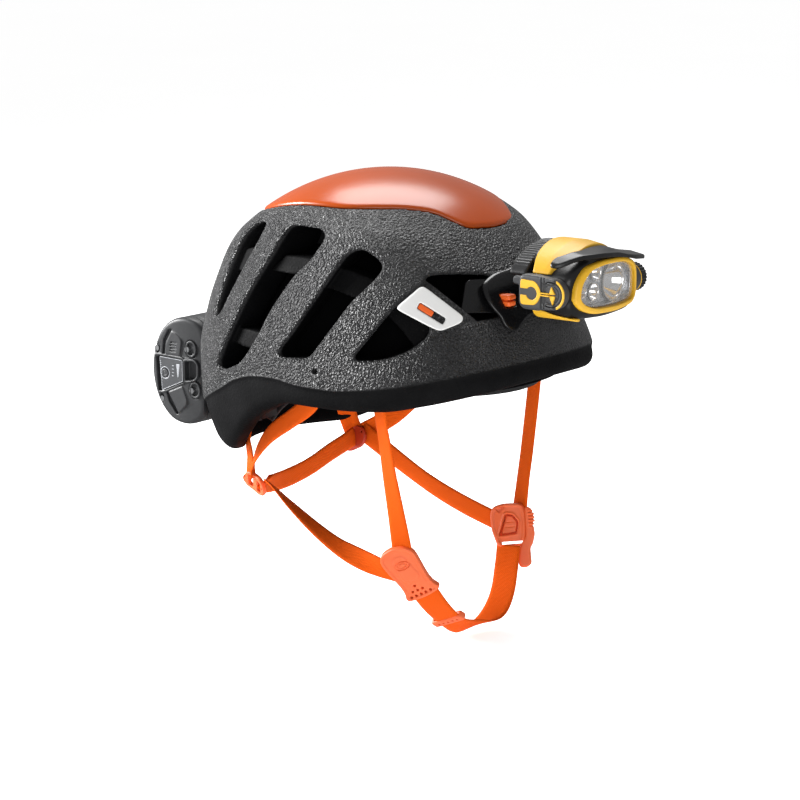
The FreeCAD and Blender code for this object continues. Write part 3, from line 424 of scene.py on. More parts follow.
# Vents on the right side: turn, outline, cross bars. Points are (along the side, height).
VENTS = [
    (43, [(20.6, 96.5), (8.4, 96), (-1, 89.5), (-6.9, 77.6), (-9.5, 56), (-8.5, 30.5), (3.6, 38.1),
          (10.6, 60), (17, 79.6)],
     [[(-12, 75), (-12, 61.5), (16, 64.5), (22, 79.5), (4, 79)]]),
    (14, [(-3.5, 95.5), (3, 98), (23, 97.5), (29.5, 93.5), (22.8, 78.8), (12.1, 67.3), (1.9, 48.9),
          (-6.1, 31), (-16, 16), (-24, 8), (-45.2, 0.3), (-52, 2.9), (-42.5, 18.7), (-32.2, 37.6),
          (-23.6, 56.3), (-12.3, 76)],
     [[(-5, 78.6), (30, 78.9), (18, 67.3), (-16, 67.6)],
      [(-40, 29.5), (-2, 28.8), (-10, 17.2), (-46, 18.5)]]),
    (-13, [(6, 83.5), (13, 87), (19, 86), (28.5, 80), (30, 75.5), (24.4, 67.5), (13.8, 56.9), (1.9, 39.3),
           (-13.4, 19), (-34, 17.4), (-37, 21.1), (-25.8, 34.7), (-11.2, 56.7)],
     [[(0, 74.5), (6, 74), (32, 66.5), (20, 55.5), (-2.3, 61.1), (-8, 62)]]),
    (-36, [(2, 55.5), (-9, 42.6), (-26, 21.4), (-14.5, 21.4), (-3.3, 23.4), (10.8, 29), (22.4, 38.5),
           (21, 50), (9, 56)],
     [[(-8, 51.5), (6, 56), (28, 42), (12.5, 30.5), (4.5, 40.5), (-1.5, 46)]]),
    (-58, [(-21.5, 68), (-15.5, 72.3), (3.4, 72.3), (25, 70), (30, 62), (28, 46), (9, 44.8), (-3, 43.5),
           (-14, 52)],
     [[(-26, 75), (-15.5, 67.6), (9.5, 45.4), (8, 38), (-20, 38)]]),
]
# How far in the bars of each vent lie.
BAR_DEPTHS = [6.5, 6.5, 6.5, 5.5, 2.0]
# The cap from above, as (forward, left).
CAP_RIGHT = [(-94, 0), (-90, -28), (-77, -48), (-59, -60.5), (-35, -67.5), (-8, -69.5), (10, -67),
             (26, -57.5), (40, -44.5), (52, -32), (63, -26), (71, -19), (73.6, 0)]
CAP_LEFT = [(73.5, 7), (71.5, 21), (68, 31), (64, 36.5), (56.5, 42.5), (48, 49.5), (36, 57), (20, 64),
            (-6, 69.5), (-35, 67.5), (-59, 60.5), (-77, 48), (-90, 28)]
# The clip, like the vents: turn, then points as (along the side, height).
CLIP_TURN = -47
CLIP = [(-3.6, 66.8), (-0.6, 66.2), (21.6, 49), (20.6, 45.7), (6.5, 40.9), (1.7, 42.7), (-19.1, 53.5),
        (-17.8, 55.8)]
CLIP_SLOT = [(-7.1, 54.2), (-4.8, 57.8), (10.6, 48.2), (8.3, 44.6)]
CLIP_TAB = [(-6.6, 54.32), (-4.68, 57.33), (3.6, 52.16), (1.68, 49.15)]


def both_sides(right):
    """An outline from above, given for the right side, as a closed loop."""
    return right + [(x, -y) for x, y in reversed(right[1:-1])]


def foam_field(g):
    """The foam shell on the right-hand half."""
    skin = skin_field(g)
    outside = skin + 1.3 * ease(skin_end(g.x) - g.z, -1.5, 2.5)
    cap_plan = outline_z(g, both_sides(CAP_RIGHT), 14, 9)
    above = g.z - 60
    groove = np.maximum(np.abs(cap_plan - 0.9) - 0.9, -above)
    outside = outside + 2.2 * np.where(above > 0, ease(-cap_plan, -1.9, -1.2), 0)
    outside = cut(outside, np.maximum(groove, -(skin + 3.0)))
    shell = smooth_max(outside, (rim_line(g.x) - g.z) * 0.75, 7.0)
    shell = cut(shell, hollow_field(g), 6.0)
    for (turn, corners, bars), depth in zip(VENTS, BAR_DEPTHS):
        vent = side_prism(g, turn, corners, 5.0)
        for bar in bars:
            strut = shared(side_prism(g, turn, bar, 1.5), skin + depth, -(skin + depth + 12))
            vent = cut(vent, strut, 1.0)
        shell = cut(shell, vent, 2.4)
    clip_seat = side_prism(g, CLIP_TURN, [(1.04 * s - 0.1, 1.04 * h - 2.1) for s, h in CLIP], 3.0)
    shell = cut(shell, np.maximum(clip_seat, -(skin + 0.6)), 0.8)
    strap_slot = block(g, (51, -84, 0), (8, 5, 28), 1.0)
    pin_hole = rod(g, (17.4, -125, 12), (17.4, -80, 12), 1.7)
    return cut(shell, np.minimum(strap_slot, pin_hole))


def foam_shell():
    """The bead-foam shell, with a grain attribute for its outer skin."""
    g = Grid((-150, -116, -80), (144, 0, 136), 1.0)
    points, quads = surface(mirror_field(foam_field(g)), g)
    points = fair(points, quads)
    thing = quad_object("foam_shell_visual", points, quads)
    spots = Spots(*(points[:, axis].astype(np.float32) for axis in range(3)))
    spots.y = -np.abs(spots.y)
    outer = skin_field(spots)
    grain = ease(outer, -4.0, -1.2) * ease(spots.z - skin_end(spots.x), -0.5, 1.5)
    attribute(thing, "grain", grain)
    # The rim mask marks the outer faces; the material paints the un-grained ones nearly as dark as the
    # inside, which is painted shade.
    attribute(thing, "rim", ease(outer, -5.5, -3.0))
    place(thing, "helmet", "foam", "foam_shell")


SHADE_SHEET_BOTTOM, SHADE_SHEET_TOP = -2, 84


def vent_net():
    """A thin near-black sheet on the inside of the shell, behind the vents: painted shade that keeps the
    vents dark.
    """
    g = Grid((-132, -98, -4), (122, 0, 88), 0.9)
    hollow = hollow_field(g)
    field = shared(hollow + 0.3, -(hollow + 1.9), SHADE_SHEET_BOTTOM - g.z, g.z - SHADE_SHEET_TOP)
    points, quads = surface(mirror_field(field), g)
    place(quad_object("vent_net", points, quads), "helmet", "liner", look="net")


def cap_height(x, y, lift):
    """Height of the helmet's outer surface, plus a lift, over plan points."""
    low, high = halved(np.full(x.shape, 40.0), np.full(x.shape, 140.0), 26,
                       lambda z: skin_field(Spots(x, y, z)) < lift)
    return (low + high) / 2


def top_cap():
    """The hard cap: a grid of rings that follows the crown, with a rolled edge."""
    outline = soften(CAP_RIGHT + CAP_LEFT, 12, 9)
    centre = np.array((-8.0, 0.0))
    spokes, lift = 240, 0.5
    turns = np.arange(spokes) * 2 * math.pi / spokes
    ways = np.stack([np.cos(turns), np.sin(turns)], 1)
    reach, _ = halved(np.zeros(spokes), np.full(spokes, 140.0), 30,
                      lambda r: polygon(*(centre + ways * r[:, None]).T, outline) < 0)
    middle = [*centre, cap_height(centre[:1], centre[1:], lift)[0]]
    rings = [(reach * share - 1.6 * share, lift) for share in np.linspace(0.02, 1, 46)]
    rings += [(reach - 1.0, 0.35), (reach - 0.5, -0.05), (reach - 0.25, -0.8), (reach - 0.4, -1.7),
              (reach - 2.5, -1.9)]
    points = []
    for distance, lift in rings:
        plan = centre + ways * distance[:, None]
        points.append(np.column_stack([plan, cap_height(plan[:, 0], plan[:, 1], lift)]))
    points.append([middle])
    faces = [(a, d, c, b) for a, b, c, d in tube_faces(len(rings), spokes)]
    faces += [(len(rings) * spokes, i, (i + 1) % spokes) for i in range(spokes)]
    place(new_object("top_cap_visual", np.concatenate(points), faces), "helmet", "cap_orange", "top_cap")


# ================================================================ small solids in their own frames
def slab(flat, across, low, high, edge=0.0):
    """A flat outline's distance pushed along a third axis, with rounded edges."""
    q = flat + edge
    w = np.abs(across - (low + high) / 2) - (high - low) / 2 + edge
    return np.minimum(np.maximum(q, w), 0) + np.sqrt(np.maximum(q, 0) ** 2 + np.maximum(w, 0) ** 2) - edge


def flat_outline(u, v, corners, radius, steps=5):
    """Distance to an outline in a plane, with its corners rounded."""
    return polygon(u, v, soften(corners, radius, steps) if radius else corners).astype(np.float32)


def outline_x(g, corners, radius=0.0):
    """Distance to an outline of (y, z) points, for every x."""
    return flat_outline(g.y[0, :, :], g.z[0, :, :], corners, radius)[None, :, :]


def outline_y(g, corners, radius=0.0):
    """Distance to an outline of (x, z) points, for every y."""
    return flat_outline(g.x[:, 0, :], g.z[0, :, :], corners, radius)[:, None, :]


def outline_z(g, corners, radius=0.0, steps=5):
    """Distance to an outline of (x, y) points, for every z."""
    return flat_outline(g.x[:, :, 0], g.y[:, :, 0], corners, radius, steps)[:, :, None]


class Placed:
    """A local frame: origin, across, up and out."""

    def __init__(self, origin, across, up):
        self.origin = np.array(origin, float)
        self.across = np.array(across, float) / np.linalg.norm(across)
        out = np.cross(self.across, up)
        self.out = out / np.linalg.norm(out)
        self.up = np.cross(self.out, self.across)

    def world(self, points):
        """Points of the local frame in the frame's own axes."""
        return self.origin + np.asarray(points, float) @ np.stack([self.across, self.up, self.out])


# ================================================================ webbing
def smooth_route(route, count):
    """Evenly sampled points and facing directions along a curve through a route."""
    spots, looks = (np.array(column, float) for column in zip(*route))
    looks /= np.linalg.norm(looks, axis=1)[:, None]
    curves = []
    for rows in (spots, looks):
        rows = np.vstack([2 * rows[:1] - rows[1:2], rows, 2 * rows[-1:] - rows[-2:-1]])
        curve = []
        for i in range(1, len(rows) - 2):
            a, b, c, d = rows[i - 1:i + 3]
            for t in np.linspace(0, 1, 24, endpoint=i == len(rows) - 3):
                curve.append(0.5 * (2 * b + (c - a) * t + (2 * a - 5 * b + 4 * c - d) * t * t
                                    + (3 * b - a - 3 * c + d) * t**3))
        curves.append(np.array(curve))
    gaps = np.concatenate([[0], np.cumsum(np.linalg.norm(np.diff(curves[0], axis=0), axis=1))])
    even = np.linspace(0, gaps[-1], count)
    spots, looks = (np.stack([np.interp(even, gaps, column) for column in rows.T], 1) for rows in curves)
    return spots, looks, even


def webbing(name, node, route, width):
    """A woven strap: a flat tube through the route, with its length and width kept for the weave."""
    count, rows = 90, 9
    spots, looks, lengths = smooth_route(route, count)
    along = np.gradient(spots, axis=0)
    along /= np.linalg.norm(along, axis=1)[:, None]
    across = np.cross(along, looks)
    across /= np.linalg.norm(across, axis=1)[:, None]
    out = np.cross(across, along)
    upper = np.linspace(1, -1, rows)
    bulge = WEB_THICK / 2 * (1 - 0.55 * np.abs(upper) ** 6)
    profile = list(zip(upper, bulge)) + list(zip(upper[::-1], -bulge))
    points = [spot + a * u * width / 2 + o * b for spot, a, o in zip(spots, across, out) for u, b in profile]
    ring = len(profile)
    faces = tube_faces(count, ring) + [range(ring)[::-1], range((count - 1) * ring, count * ring)]
    thing = new_object(name, points, faces)
    attribute(thing, "along", np.repeat(lengths, ring))
    attribute(thing, "across", np.tile([u * width / 2 for u, _ in profile], count))
    place(thing, "helmet", "webbing", node)


NARROW_WEB = 13.0
WIDE_WEB = 19.0
WEB_THICK = 1.5
# Routes as (point, way the webbing faces).
FRONT_STRAP = [((51, -86.5, 9), (-0.35, -1, 0)), ((51, -85.5, -14), (-0.35, -1, 0)),
               ((51, -81, -33), (-0.3, -1, 0)), ((50.5, -75.6, -54.5), (-0.18, -1, -0.1)),
               ((50, -66.8, -86.5), (0.1, -0.95, -0.2)), ((49, -60.5, -108), (0.38, -0.88, -0.3))]
FRONT_STRAP_LEFT = [((51, 85, 9), (0.3, 1, 0)), ((51, 83.5, -15), (0.3, 1, 0)),
                    ((50.5, 76.4, -62), (0.3, 1, -0.1)), ((50.5, 71.5, -86), (0.3, 1, -0.15)),
                    ((51, 67, -107), (0.2, 1, -0.2))]
SIDE_RISER = [((-3, -82, -6), (-0.1, -1, 0)), ((-10, -80.5, -16.5), (-0.2, -1, 0)),
              ((-28.4, -76.5, -29), (-0.42, -1, 0.1)), ((-52.8, -70, -44), (-0.55, -1, 0.2)),
              ((-68.5, -65, -58.5), (-0.75, -0.8, 0.2)), ((-76, -62, -70), (-0.9, -0.6, 0.1)),
              ((-77, -61, -78), (-0.9, -0.5, 0))]
SIDE_RISER_LEFT = [((-5, 82, -2), (0, 1, 0)), ((-13, 81, -18), (0, 1, 0)), ((-38, 75, -36), (-0.2, 1, 0)),
                   ((-60, 68, -57), (-0.4, 1, 0)), ((-84, 62.5, -72), (-0.5, 1, 0))]
REAR_RISER = [((-86, -50, -42), (-0.8, -0.6, 0)), ((-88, -53, -56), (-0.6, -0.8, 0)),
              ((-83, -57, -66), (-0.5, -0.85, 0)), ((-79.5, -61, -79), (-0.4, -0.9, 0))]
REAR_RISER_LEFT = [((-88, 50, -42), (-0.8, 0.6, 0)), ((-90, 54, -55), (-0.7, 0.7, 0)),
                   ((-88, 60, -72), (-0.5, 0.85, 0))]
REAR_STRAP_RIGHT = [((-64, -61, -80.5), (0.5, 0.55, 0.7)), ((-56.5, -61.5, -84), (0.45, 0.5, 0.74)),
                    ((-39.9, -63.5, -93), (0.32, 0.25, 0.92)), ((-20.6, -65, -103.2), (0.22, -0.02, 0.97)),
                    ((-2.8, -65, -111.8), (0.08, -0.3, 0.94)), ((14, -63.5, -118), (0, -0.7, 0.6)),
                    ((29.8, -61, -122.4), (0.2, -0.97, 0)), ((43, -58, -125), (0.4, -0.88, -0.25))]
REAR_STRAP_LEFT = [((-82, 61.5, -69.5), (-0.3, 1, 0)), ((-69, 62, -76.5), (-0.2, 1, 0)),
                   ((-55, 64, -85), (-0.1, 1, 0.05)), ((-33.6, 65, -96), (0, 1, 0.1)),
                   ((-15, 65, -103.6), (0, 1, 0.05)), ((8, 63, -110), (0, 1, 0)),
                   ((31, 61, -115), (0.05, 1, 0)), ((42, 60, -117), (0.1, 1, 0))]
NAPE_STRAP = [((-69, -58, -81), (-0.2, -0.5, 0.85)), ((-74.5, -50, -85.4), (-0.6, -0.7, 0.35)),
              ((-82, -22, -88.2), (-1, -0.25, 0)), ((-84, 5, -85.6), (-1, 0, 0)),
              ((-84, 28, -79.4), (-1, 0.2, 0)), ((-84, 44, -75.6), (-0.95, 0.3, 0)),
              ((-86, 58, -73), (-0.8, 0.6, 0))]
CHIN_STRAP = [((53, -42.5, -138.5), (0.4, -0.5, -0.7)), ((54.5, -31, -152), (0.36, -0.52, -0.75)),
              ((55.5, -17.1, -164), (0.34, -0.5, -0.78)), ((54.5, 2, -173), (0.58, -0.32, -0.72)),
              ((54, 22, -174.5), (0.22, 0.3, -0.93)), ((54, 35, -170), (0, 0.7, -0.75)),
              ((54, 43.5, -159), (0, 0.93, -0.35)), ((54, 47.6, -143), (0, 1, -0.1)),
              ((52.5, 52, -128.6), (0, 1, 0))]


def harness():
    """All the webbing; the chin strap is the widest."""
    for name, node, route in (("front_web_right", "front_strap_right", FRONT_STRAP),
                              ("front_web_left", "front_strap_left", FRONT_STRAP_LEFT),
                              ("side_web_right", "side_riser_right", SIDE_RISER),
                              ("side_web_left", "side_riser_left", SIDE_RISER_LEFT),
                              ("rear_riser_web_right", "rear_riser_right", REAR_RISER),
                              ("rear_riser_web_left", "rear_riser_left", REAR_RISER_LEFT),
                              ("ear_web_right", "rear_strap_right", REAR_STRAP_RIGHT),
                              ("ear_web_left", "rear_strap_left", REAR_STRAP_LEFT),
                              ("nape_web", "nape_strap", NAPE_STRAP)):
        webbing(name, node, route, NARROW_WEB)
    webbing("chin_web", "chin_strap", CHIN_STRAP, WIDE_WEB)


# ================================================================ harness fittings
# Outlines as (across, up) in each fitting's own frame.
GUIDE_FRAME = Placed((49.5, -54, -124), (0.845, 0.256, 0.47), (-0.302, -0.496, 0.814))
GUIDE_OUTLINE = [(-12.6, 15.4), (-8, 20), (0, 21.2), (8, 19.4), (12.6, 14), (11.8, 5), (10.3, -5),
                 (10.3, -12.3), (12.8, -17), (11, -19.2), (0, -20.6), (-11.2, -19.4), (-13, -17),
                 (-10.8, -12.3), (-10.8, -5), (-12.2, 5)]
GUIDE_HOLES = [(-1.8, -10), (1.9, -13.7), (-5.6, -13.6), (-1.8, -13.7), (-8.7, -17.1), (-5, -17.1),
               (-1.2, -17.2), (2.3, -17.2), (6.1, -17)]
BUCKLE_FRAME = Placed((49, 58, -117), (0.854, 0.503, 0.132), (-0.267, 0.205, 0.942))
BUCKLE_OUTLINE = [(-12.6, 10.5), (-9.8, 14.2), (-2.8, 15.6), (9.2, 14.8), (11.6, 11), (11.8, 2.2),
                  (10.9, -6.1), (9.2, -14.2), (-9.2, -13.8), (-11.2, -6.8), (-12.8, -1)]
BUCKLE_WINDOW = [(-2, 8.2), (3, 7.2), (6.4, 2.2), (4.8, -5.6), (-7.6, -6.2)]
BUCKLE_NOTCH = [(-9.2, 12.4), (-1.6, 13.3), (-6, 9.2)]
TONGUE_OUTLINE = [(11.2, 12.4), (15, 11.4), (17, 7.2), (17, 1.9), (15.9, 0), (16.6, -6.6), (14.6, -13.3),
                  (12.6, -15.9), (12.6, -26.8), (9.3, -29), (4.6, -28.8), (3.6, -24), (6, -14), (10.4, -8)]
ADJUSTER_OUTLINE = [(-12, -2), (-7, 6.6), (6, 7.6), (11.4, 3), (10.6, -4), (4, -8), (-8, -7.4)]


def chin_guide():
    """The plate where the right-hand straps meet: rounded top, flared foot with small holes."""
    g = Grid((-16, -24, -5), (16, 25, 6), 0.35)
    flat = outline_z(g, GUIDE_OUTLINE, 5)
    plate = slab(flat, g.z, -2.2, 2.0, 1.2)
    rim = slab(np.abs(flat + 1.1) - 0.9, g.z, 1, 2.6, 0.5)
    waist = outline_z(g, [(-4.5, 14), (4.5, 14), (6.2, -6), (-6.2, -6)], 5)
    raised = slab(waist, g.z, 0, 2.55, 0.5)
    oval = np.sqrt((g.x / 5.2) ** 2 + ((g.y - 7.5) / 2.9) ** 2) * 3.4 - 3.4
    field = smooth_min(smooth_min(plate, rim, 0.8), raised, 1.4)
    field = cut(field, slab(np.abs(oval) - 0.4, g.z, 1.8, 3.5))
    field = cut(field, slab(np.abs(oval + 1.5) - 0.3, g.z, 2.0, 3.5))
    for hole in GUIDE_HOLES:
        field = cut(field, away_from(g.x, g.y, hole) - 0.95)
    piece("chin_guide", field, g, "helmet", "fittings", frame=GUIDE_FRAME)


def chin_slider():
    """The short bar with small holes that keeps the chin strap's loose end down."""
    frame = Placed((54.2, -17.4, -163.4), (0.92, 0, 0.39), (0, 0.75, -0.66))
    g = Grid((-15, -5, -5), (15, 5, 6), 0.3)
    field = block(g, (0, 0, 0), (12.8, 3.1, 2.7), 1.6)
    field = cut(field, block(g, (0, 0, 0), (10.2, 9, 1.0), 0.4))
    for x in (-8, -4, 0, 4, 8):
        hole = np.sqrt((g.x - x) ** 2 + g.y ** 2 * 0.6) - 0.75
        field = cut(field, hole + np.maximum(1.2 - np.abs(g.z), 0))
    piece("chin_slider", field, g, "slider", "fittings", frame=frame)


def buckle():
    """Frame with a five-sided window, its release button behind the window, and the ribbed tongue."""
    g = Grid((-16, -32, -8), (20, 19, 8), 0.35)
    flat = outline_z(g, BUCKLE_OUTLINE, 3.5)
    bowed = g.z + 0.012 * (g.x ** 2)
    plate = slab(flat, bowed, -2.6, 2.4, 1.3)
    rim = slab(np.abs(flat + 1.6) - 0.8, bowed, 1, 3.0, 0.5)
    window = outline_z(g, BUCKLE_WINDOW, 1.4)
    lip = slab(np.abs(window - 0.9) - 0.5, bowed, 1, 2.9, 0.4)
    field = smooth_min(smooth_min(plate, rim, 0.8), lip, 0.6)
    field = cut(field, window, 0.7)
    notch = slab(outline_z(g, BUCKLE_NOTCH, 0.8), g.z, 1.0, 5)
    slot = outline_z(g, [(-6.4, -10.4), (8.2, -10.7), (8.2, -12.6), (-6.4, -12.4)], 0.6)
    field = cut(cut(field, notch), slot)
    piece("buckle_frame", field, g, "helmet", "fittings", frame=BUCKLE_FRAME)
    button = slab(window + 0.95, bowed, -2.4, 0.9, 0.7)
    button = cut(button, np.abs(np.abs(g.y - 1) - 1.6) - 0.35 + np.maximum(0.5 - g.z, 0) * 4)
    button = np.minimum(button, slab(window - 1.2, bowed, -4.9, -4.3))
    button = np.minimum(button, slab(window + 2.0, bowed, -4.5, 0))
    piece("buckle_button", button, g, "buckle_press", "fittings", frame=BUCKLE_FRAME)
    tongue = slab(outline_z(g, TONGUE_OUTLINE, 2.0), g.z, -4.6, 1.6, 1.3)
    ribs = 0.55 * np.cos(g.y * 2 * math.pi / 2.3) * ease(g.y, -3.5, -1) * (1 - ease(g.y, 8, 10))
    tongue = tongue - np.where(g.x > 13.6, ribs, 0)
    piece("buckle_tongue", tongue, g, "helmet", "fittings", frame=BUCKLE_FRAME)


def adjuster(node, frame, look):
    """A folded plate that gathers three straps behind the ear; the near one shows its two slots."""
    g = Grid((-15, -12, -5), (15, 11, 5), 0.35)
    flat = outline_z(g, ADJUSTER_OUTLINE, 3)
    field = slab(flat, g.z - 0.012 * g.x ** 2, -1.6, 1.6, 1.0)
    if look == "fittings":
        for middle in (-3.8, 4.8):
            field = cut(field, block(g, (middle, 0, 0), (2.2, 4.6, 9), 1.0))
    for hole in ((-9.4, 0.6), (8.8, 1.2)):
        field = cut(field, away_from(g.x, g.y, hole) - 0.9)
    piece(node, field, g, "helmet", "fittings", look, frame)


def adjusters():
    """Both strap adjusters; the far one takes a darker copy of the fittings' colour, which is painted shade.
    """
    right = Placed((-74, -61.5, -82), (0.92, -0.1, -0.38), (0.264, -0.33, 0.726))
    left = Placed((-86.5, 58.8, -75), (0.85, 0.1, 0.5), (-0.5, 0.1, 0.86))
    adjuster("strap_adjuster_right", right, "fittings")
    # The far adjuster's darker colour is painted shade: it sits in shadow on the far side.
    adjuster("strap_adjuster_left", left, "fittings_painted_shade")


# ================================================================ clips on the sides
def clips():
    """White clips with an orange sliding tab, and their left-hand copies."""
    g = Grid((48, -97, 36), (98, -42, 70), 0.4)
    skin = skin_field(g)
    outline = side_prism(g, CLIP_TURN, CLIP, 3.0)
    slot = side_prism(g, CLIP_TURN, CLIP_SLOT, 1.2)
    field = smooth_max(outline, np.maximum(skin - 2.5, 0.25 - skin), 1.2)
    pair("side_clip", cut(field, slot, 0.9), g, ("clip_right", "clip_left"), "clip_white")
    tab = smooth_max(side_prism(g, CLIP_TURN, CLIP_TAB, 0.8), np.maximum(skin - 2.1, 0.3 - skin), 0.6)
    pair("clip_tab", tab, g, ("tab_right", "tab_left"), "tab_orange")


# ================================================================ lamp
# The lamp from the front, as (left, height); the brow's reach is (left, forward).
HOUSING = [(-31, 48.6), (0, 47.2), (30, 48.2), (36.4, 54), (36.8, 66), (36.4, 75.5), (31, 80.5), (22, 85.8),
           (12, 89.4), (2, 91), (-8, 90.6), (-17, 88.2), (-26, 84), (-33, 79), (-36.6, 75), (-36.9, 66),
           (-36.6, 54)]
BROW = [(-41, 80.3), (-38, 82.2), (-31, 86), (-24.5, 87.9), (-10.4, 88.5), (3.8, 87.7), (18.4, 84.8),
        (33.2, 82.4), (42.5, 80.8)]
BROW_REACH = [(-41, 150), (-38, 154), (-30, 160), (-20, 164.5), (0, 167.5), (20, 167.5), (42.5, 163)]
BEZEL_OUTER = [(-34.5, 63.3), (-32.8, 72.6), (-24.7, 81.2), (-8, 84), (10, 83.8), (21, 82.4), (31.5, 78.4),
               (34.6, 71.5), (34.2, 58.4), (29, 52.4), (6.5, 50.6), (-17, 51.2), (-28, 54.8), (-32.8, 59)]
BEZEL_INNER = [(-30.3, 63.4), (-28.6, 71.6), (-21.2, 78.9), (-6.3, 81.2), (10, 81), (21, 79.6), (28.3, 76),
               (30.6, 70.5), (30.2, 59.2), (26, 55.4), (6, 54.4), (-16, 54.9), (-25.4, 57.8), (-29, 60.8)]
# Bowls as (left, height, radius).
REFLECTORS = [(-5.4, 75.2, 5.4), (-8, 63.4, 5.6), (-18.4, 74.2, 3.7), (-20, 64.6, 3.9)]
MAIN_REFLECTOR = (13.2, 67.7, 11.9)
# The hinge axis, as (forward, height).
TILT_AXIS = (150.0, 65.5)


def face_x(y, middle=164.2):
    """How far forward the lamp's rounded face is."""
    return middle - 4.0 * (y / 36) ** 2


def lamp_grid():
    """Sample points over the whole lamp."""
    return Grid((110, -47, 43), (170, 47, 98), 0.5)


def lamp_outline(g):
    """The housing's outline from the front, with a top that falls towards the face."""
    table = outline_x(g, HOUSING, 6)[0]
    moved = g.z[0] - 0.17 * np.minimum(148 - g.x[:, :, 0], 8) * ease(g.z[0], 70, 88)
    place = np.clip((moved - g.low[2]) / g.step, 0, table.shape[1] - 1.001)
    index = place.astype(int)
    share = (place - index).astype(np.float32)
    return np.stack([table[:, i] * (1 - t) + table[:, i + 1] * t for i, t in zip(index, share)])


def lamp_housing():
    """Black housing with a rounded face, a recess for the bezel and an overhanging brow."""
    g = lamp_grid()
    body = lamp_outline(g)
    front = g.x - face_x(g.y, 162.8) + 0.05 * np.maximum(56 - g.z, 0) ** 1.5
    rear = 122.5 + 9 * ease(np.abs(g.y), 22, 35)
    field = smooth_max(smooth_max(body, front, 5.0), rear - g.x, 3.0)
    brow_line = curve_along(*zip(*BROW), g.y) + 0.17 * (166 - g.x)
    reach = g.x - curve_along(*zip(*BROW_REACH), g.y)
    start = curve_along([-42, -36, -30, -20, -5, 45], [146.5, 147, 151, 154, 154, 152], g.y)
    brow = shared(g.z - brow_line, brow_line - 3.0 - g.z, reach, start - g.x)
    brow = smooth_max(smooth_max(brow, np.abs(g.y - 0.8) - 41.5, 2.0), reach, 1.6)
    field = smooth_min(field, brow, 3.2)
    chamber = slab(outline_x(g, BEZEL_INNER, 4), g.x, 143, 180)
    field = cut(field, chamber, 0.8)
    seat = slab(outline_x(g, BEZEL_OUTER, 5) + 0.2, g.x - face_x(g.y), -3.4, 20)
    field = cut(field, seat, 0.6)
    boss = rod(g, (TILT_AXIS[0], -37.4, TILT_AXIS[1]), (TILT_AXIS[0], 37.4, TILT_AXIS[1]), 8.5, 0.5)
    piece("lamp_housing", smooth_min(field, cut(boss, chamber), 1.0), g, "lamp", "lamp_black")


def lamp_band():
    """The coloured band over the lamp and the strip under its right-hand edge."""
    g = lamp_grid()
    body = lamp_outline(g)
    rear = monotone_curve([-40, -34, -26, -16, 0, 20, 36], [133, 130.5, 127.5, 125.6, 124.4, 125, 128], g.y)
    ahead = monotone_curve([-40, -35, -32, -29, -25, -16, -5, 10, 22, 36],
                           [144.6, 144.8, 146.4, 149.4, 151.6, 152.4, 152, 150.4, 148, 144], g.y)
    width = np.maximum(rear - g.x, g.x - ahead).astype(np.float32)
    field = smooth_max(np.maximum(body - 1.7, -body - 1.0), width, 1.2)
    field = smooth_max(field, 76.4 - g.z, 0.8)
    ceiling = curve_along([128, 138, 146, 156, 164], [54.2, 53.8, 51.8, 50.4, 49.6], g.x)
    lower = shared(body - 0.9, -body - 1.0, g.z - ceiling, g.y + 26)
    lower = smooth_max(lower, np.maximum(131 - g.x, g.x - 160), 0.8)
    piece("lamp_top_cover", np.minimum(field, lower), g, "lamp", "lamp_yellow")


def heat_sink():
    """Ribs that follow the arch behind the band."""
    g = lamp_grid()
    turn = np.arctan2(g.y, g.z - 40)
    ribs = 0.35 * np.cos(turn * 136) * ease(g.z, 78, 86)
    field = smooth_max(lamp_outline(g) + 0.2 - ribs, np.abs(g.x - 119.5) - 6.2, 1.4)
    field = smooth_max(field, 74 - g.z, 1.5)
    piece("heat_sink", np.maximum(field, 1.2 - skin_field(g)), g, "lamp", "sink")


def bezel_and_lens():
    """The yellow ring, the clear lens and the silver plate with its bowls."""
    g = Grid((150, -38, 46), (168, 38, 88), 0.4)
    outer, inner = outline_x(g, BEZEL_OUTER, 6), outline_x(g, BEZEL_INNER, 5)
    deep = g.x - face_x(g.y)
    front = deep - 1.0 - 1.1 * np.clip((-outer) / 3.2, 0, 1)
    field = smooth_max(smooth_max(cut(outer, inner), front, 1.3), -3.2 - deep, 0.6)
    piece("lamp_bezel", field, g, "lamp", "lamp_yellow")
    piece("lamp_lens", np.maximum(inner + 0.15, np.abs(deep + 0.9) - 0.6), g, "lamp", "lens")
    plate = np.maximum(inner + 0.3, np.abs(g.x - 155.6) - 0.6)
    wall = shared(np.abs(inner + 0.8) - 0.45, deep + 1.7, 155.6 - g.x)
    field = np.minimum(plate, wall)
    for y, z, radius in REFLECTORS + [MAIN_REFLECTOR]:
        field = cut(field, away_from(g.y, g.z, (y, z)) - radius + 0.25, 0.4)
    place(solid("reflector_plate", field, g), "lamp", "reflector", look="reflector_plate")


def bowl(y, z, radius, deep, rim):
    """Points and faces of one reflector bowl, open to the front, with a rolled rim."""
    spokes = 48
    rows = [(rim + 0.9, radius + 0.25), (rim + 0.9, radius - 0.35)]
    rows += [(rim - deep * (1 - share ** 2), (radius - 0.5) * share) for share in np.linspace(1, 0.12, 12)]
    points = [(x, y + r * math.cos(k * 2 * math.pi / spokes), z + r * math.sin(k * 2 * math.pi / spokes))
              for x, r in rows for k in range(spokes)]
    return points, tube_faces(len(rows), spokes)


def reflectors():
    """Chrome bowls: the large one and four small ones."""
    for node, bowls, deep, rim in (("main_reflector", [MAIN_REFLECTOR], 9.5, 157.2),
                                   ("side_reflectors", REFLECTORS, 6.0, 156.8)):
        points, faces = [], []
        for y, z, radius in bowls:
            more, shapes = bowl(y, z, radius, deep, rim)
            faces += [tuple(corner + len(points) for corner in face) for face in shapes]
            points += more
        place(new_object(f"{node}_visual", points, faces), "lamp", "reflector", node)


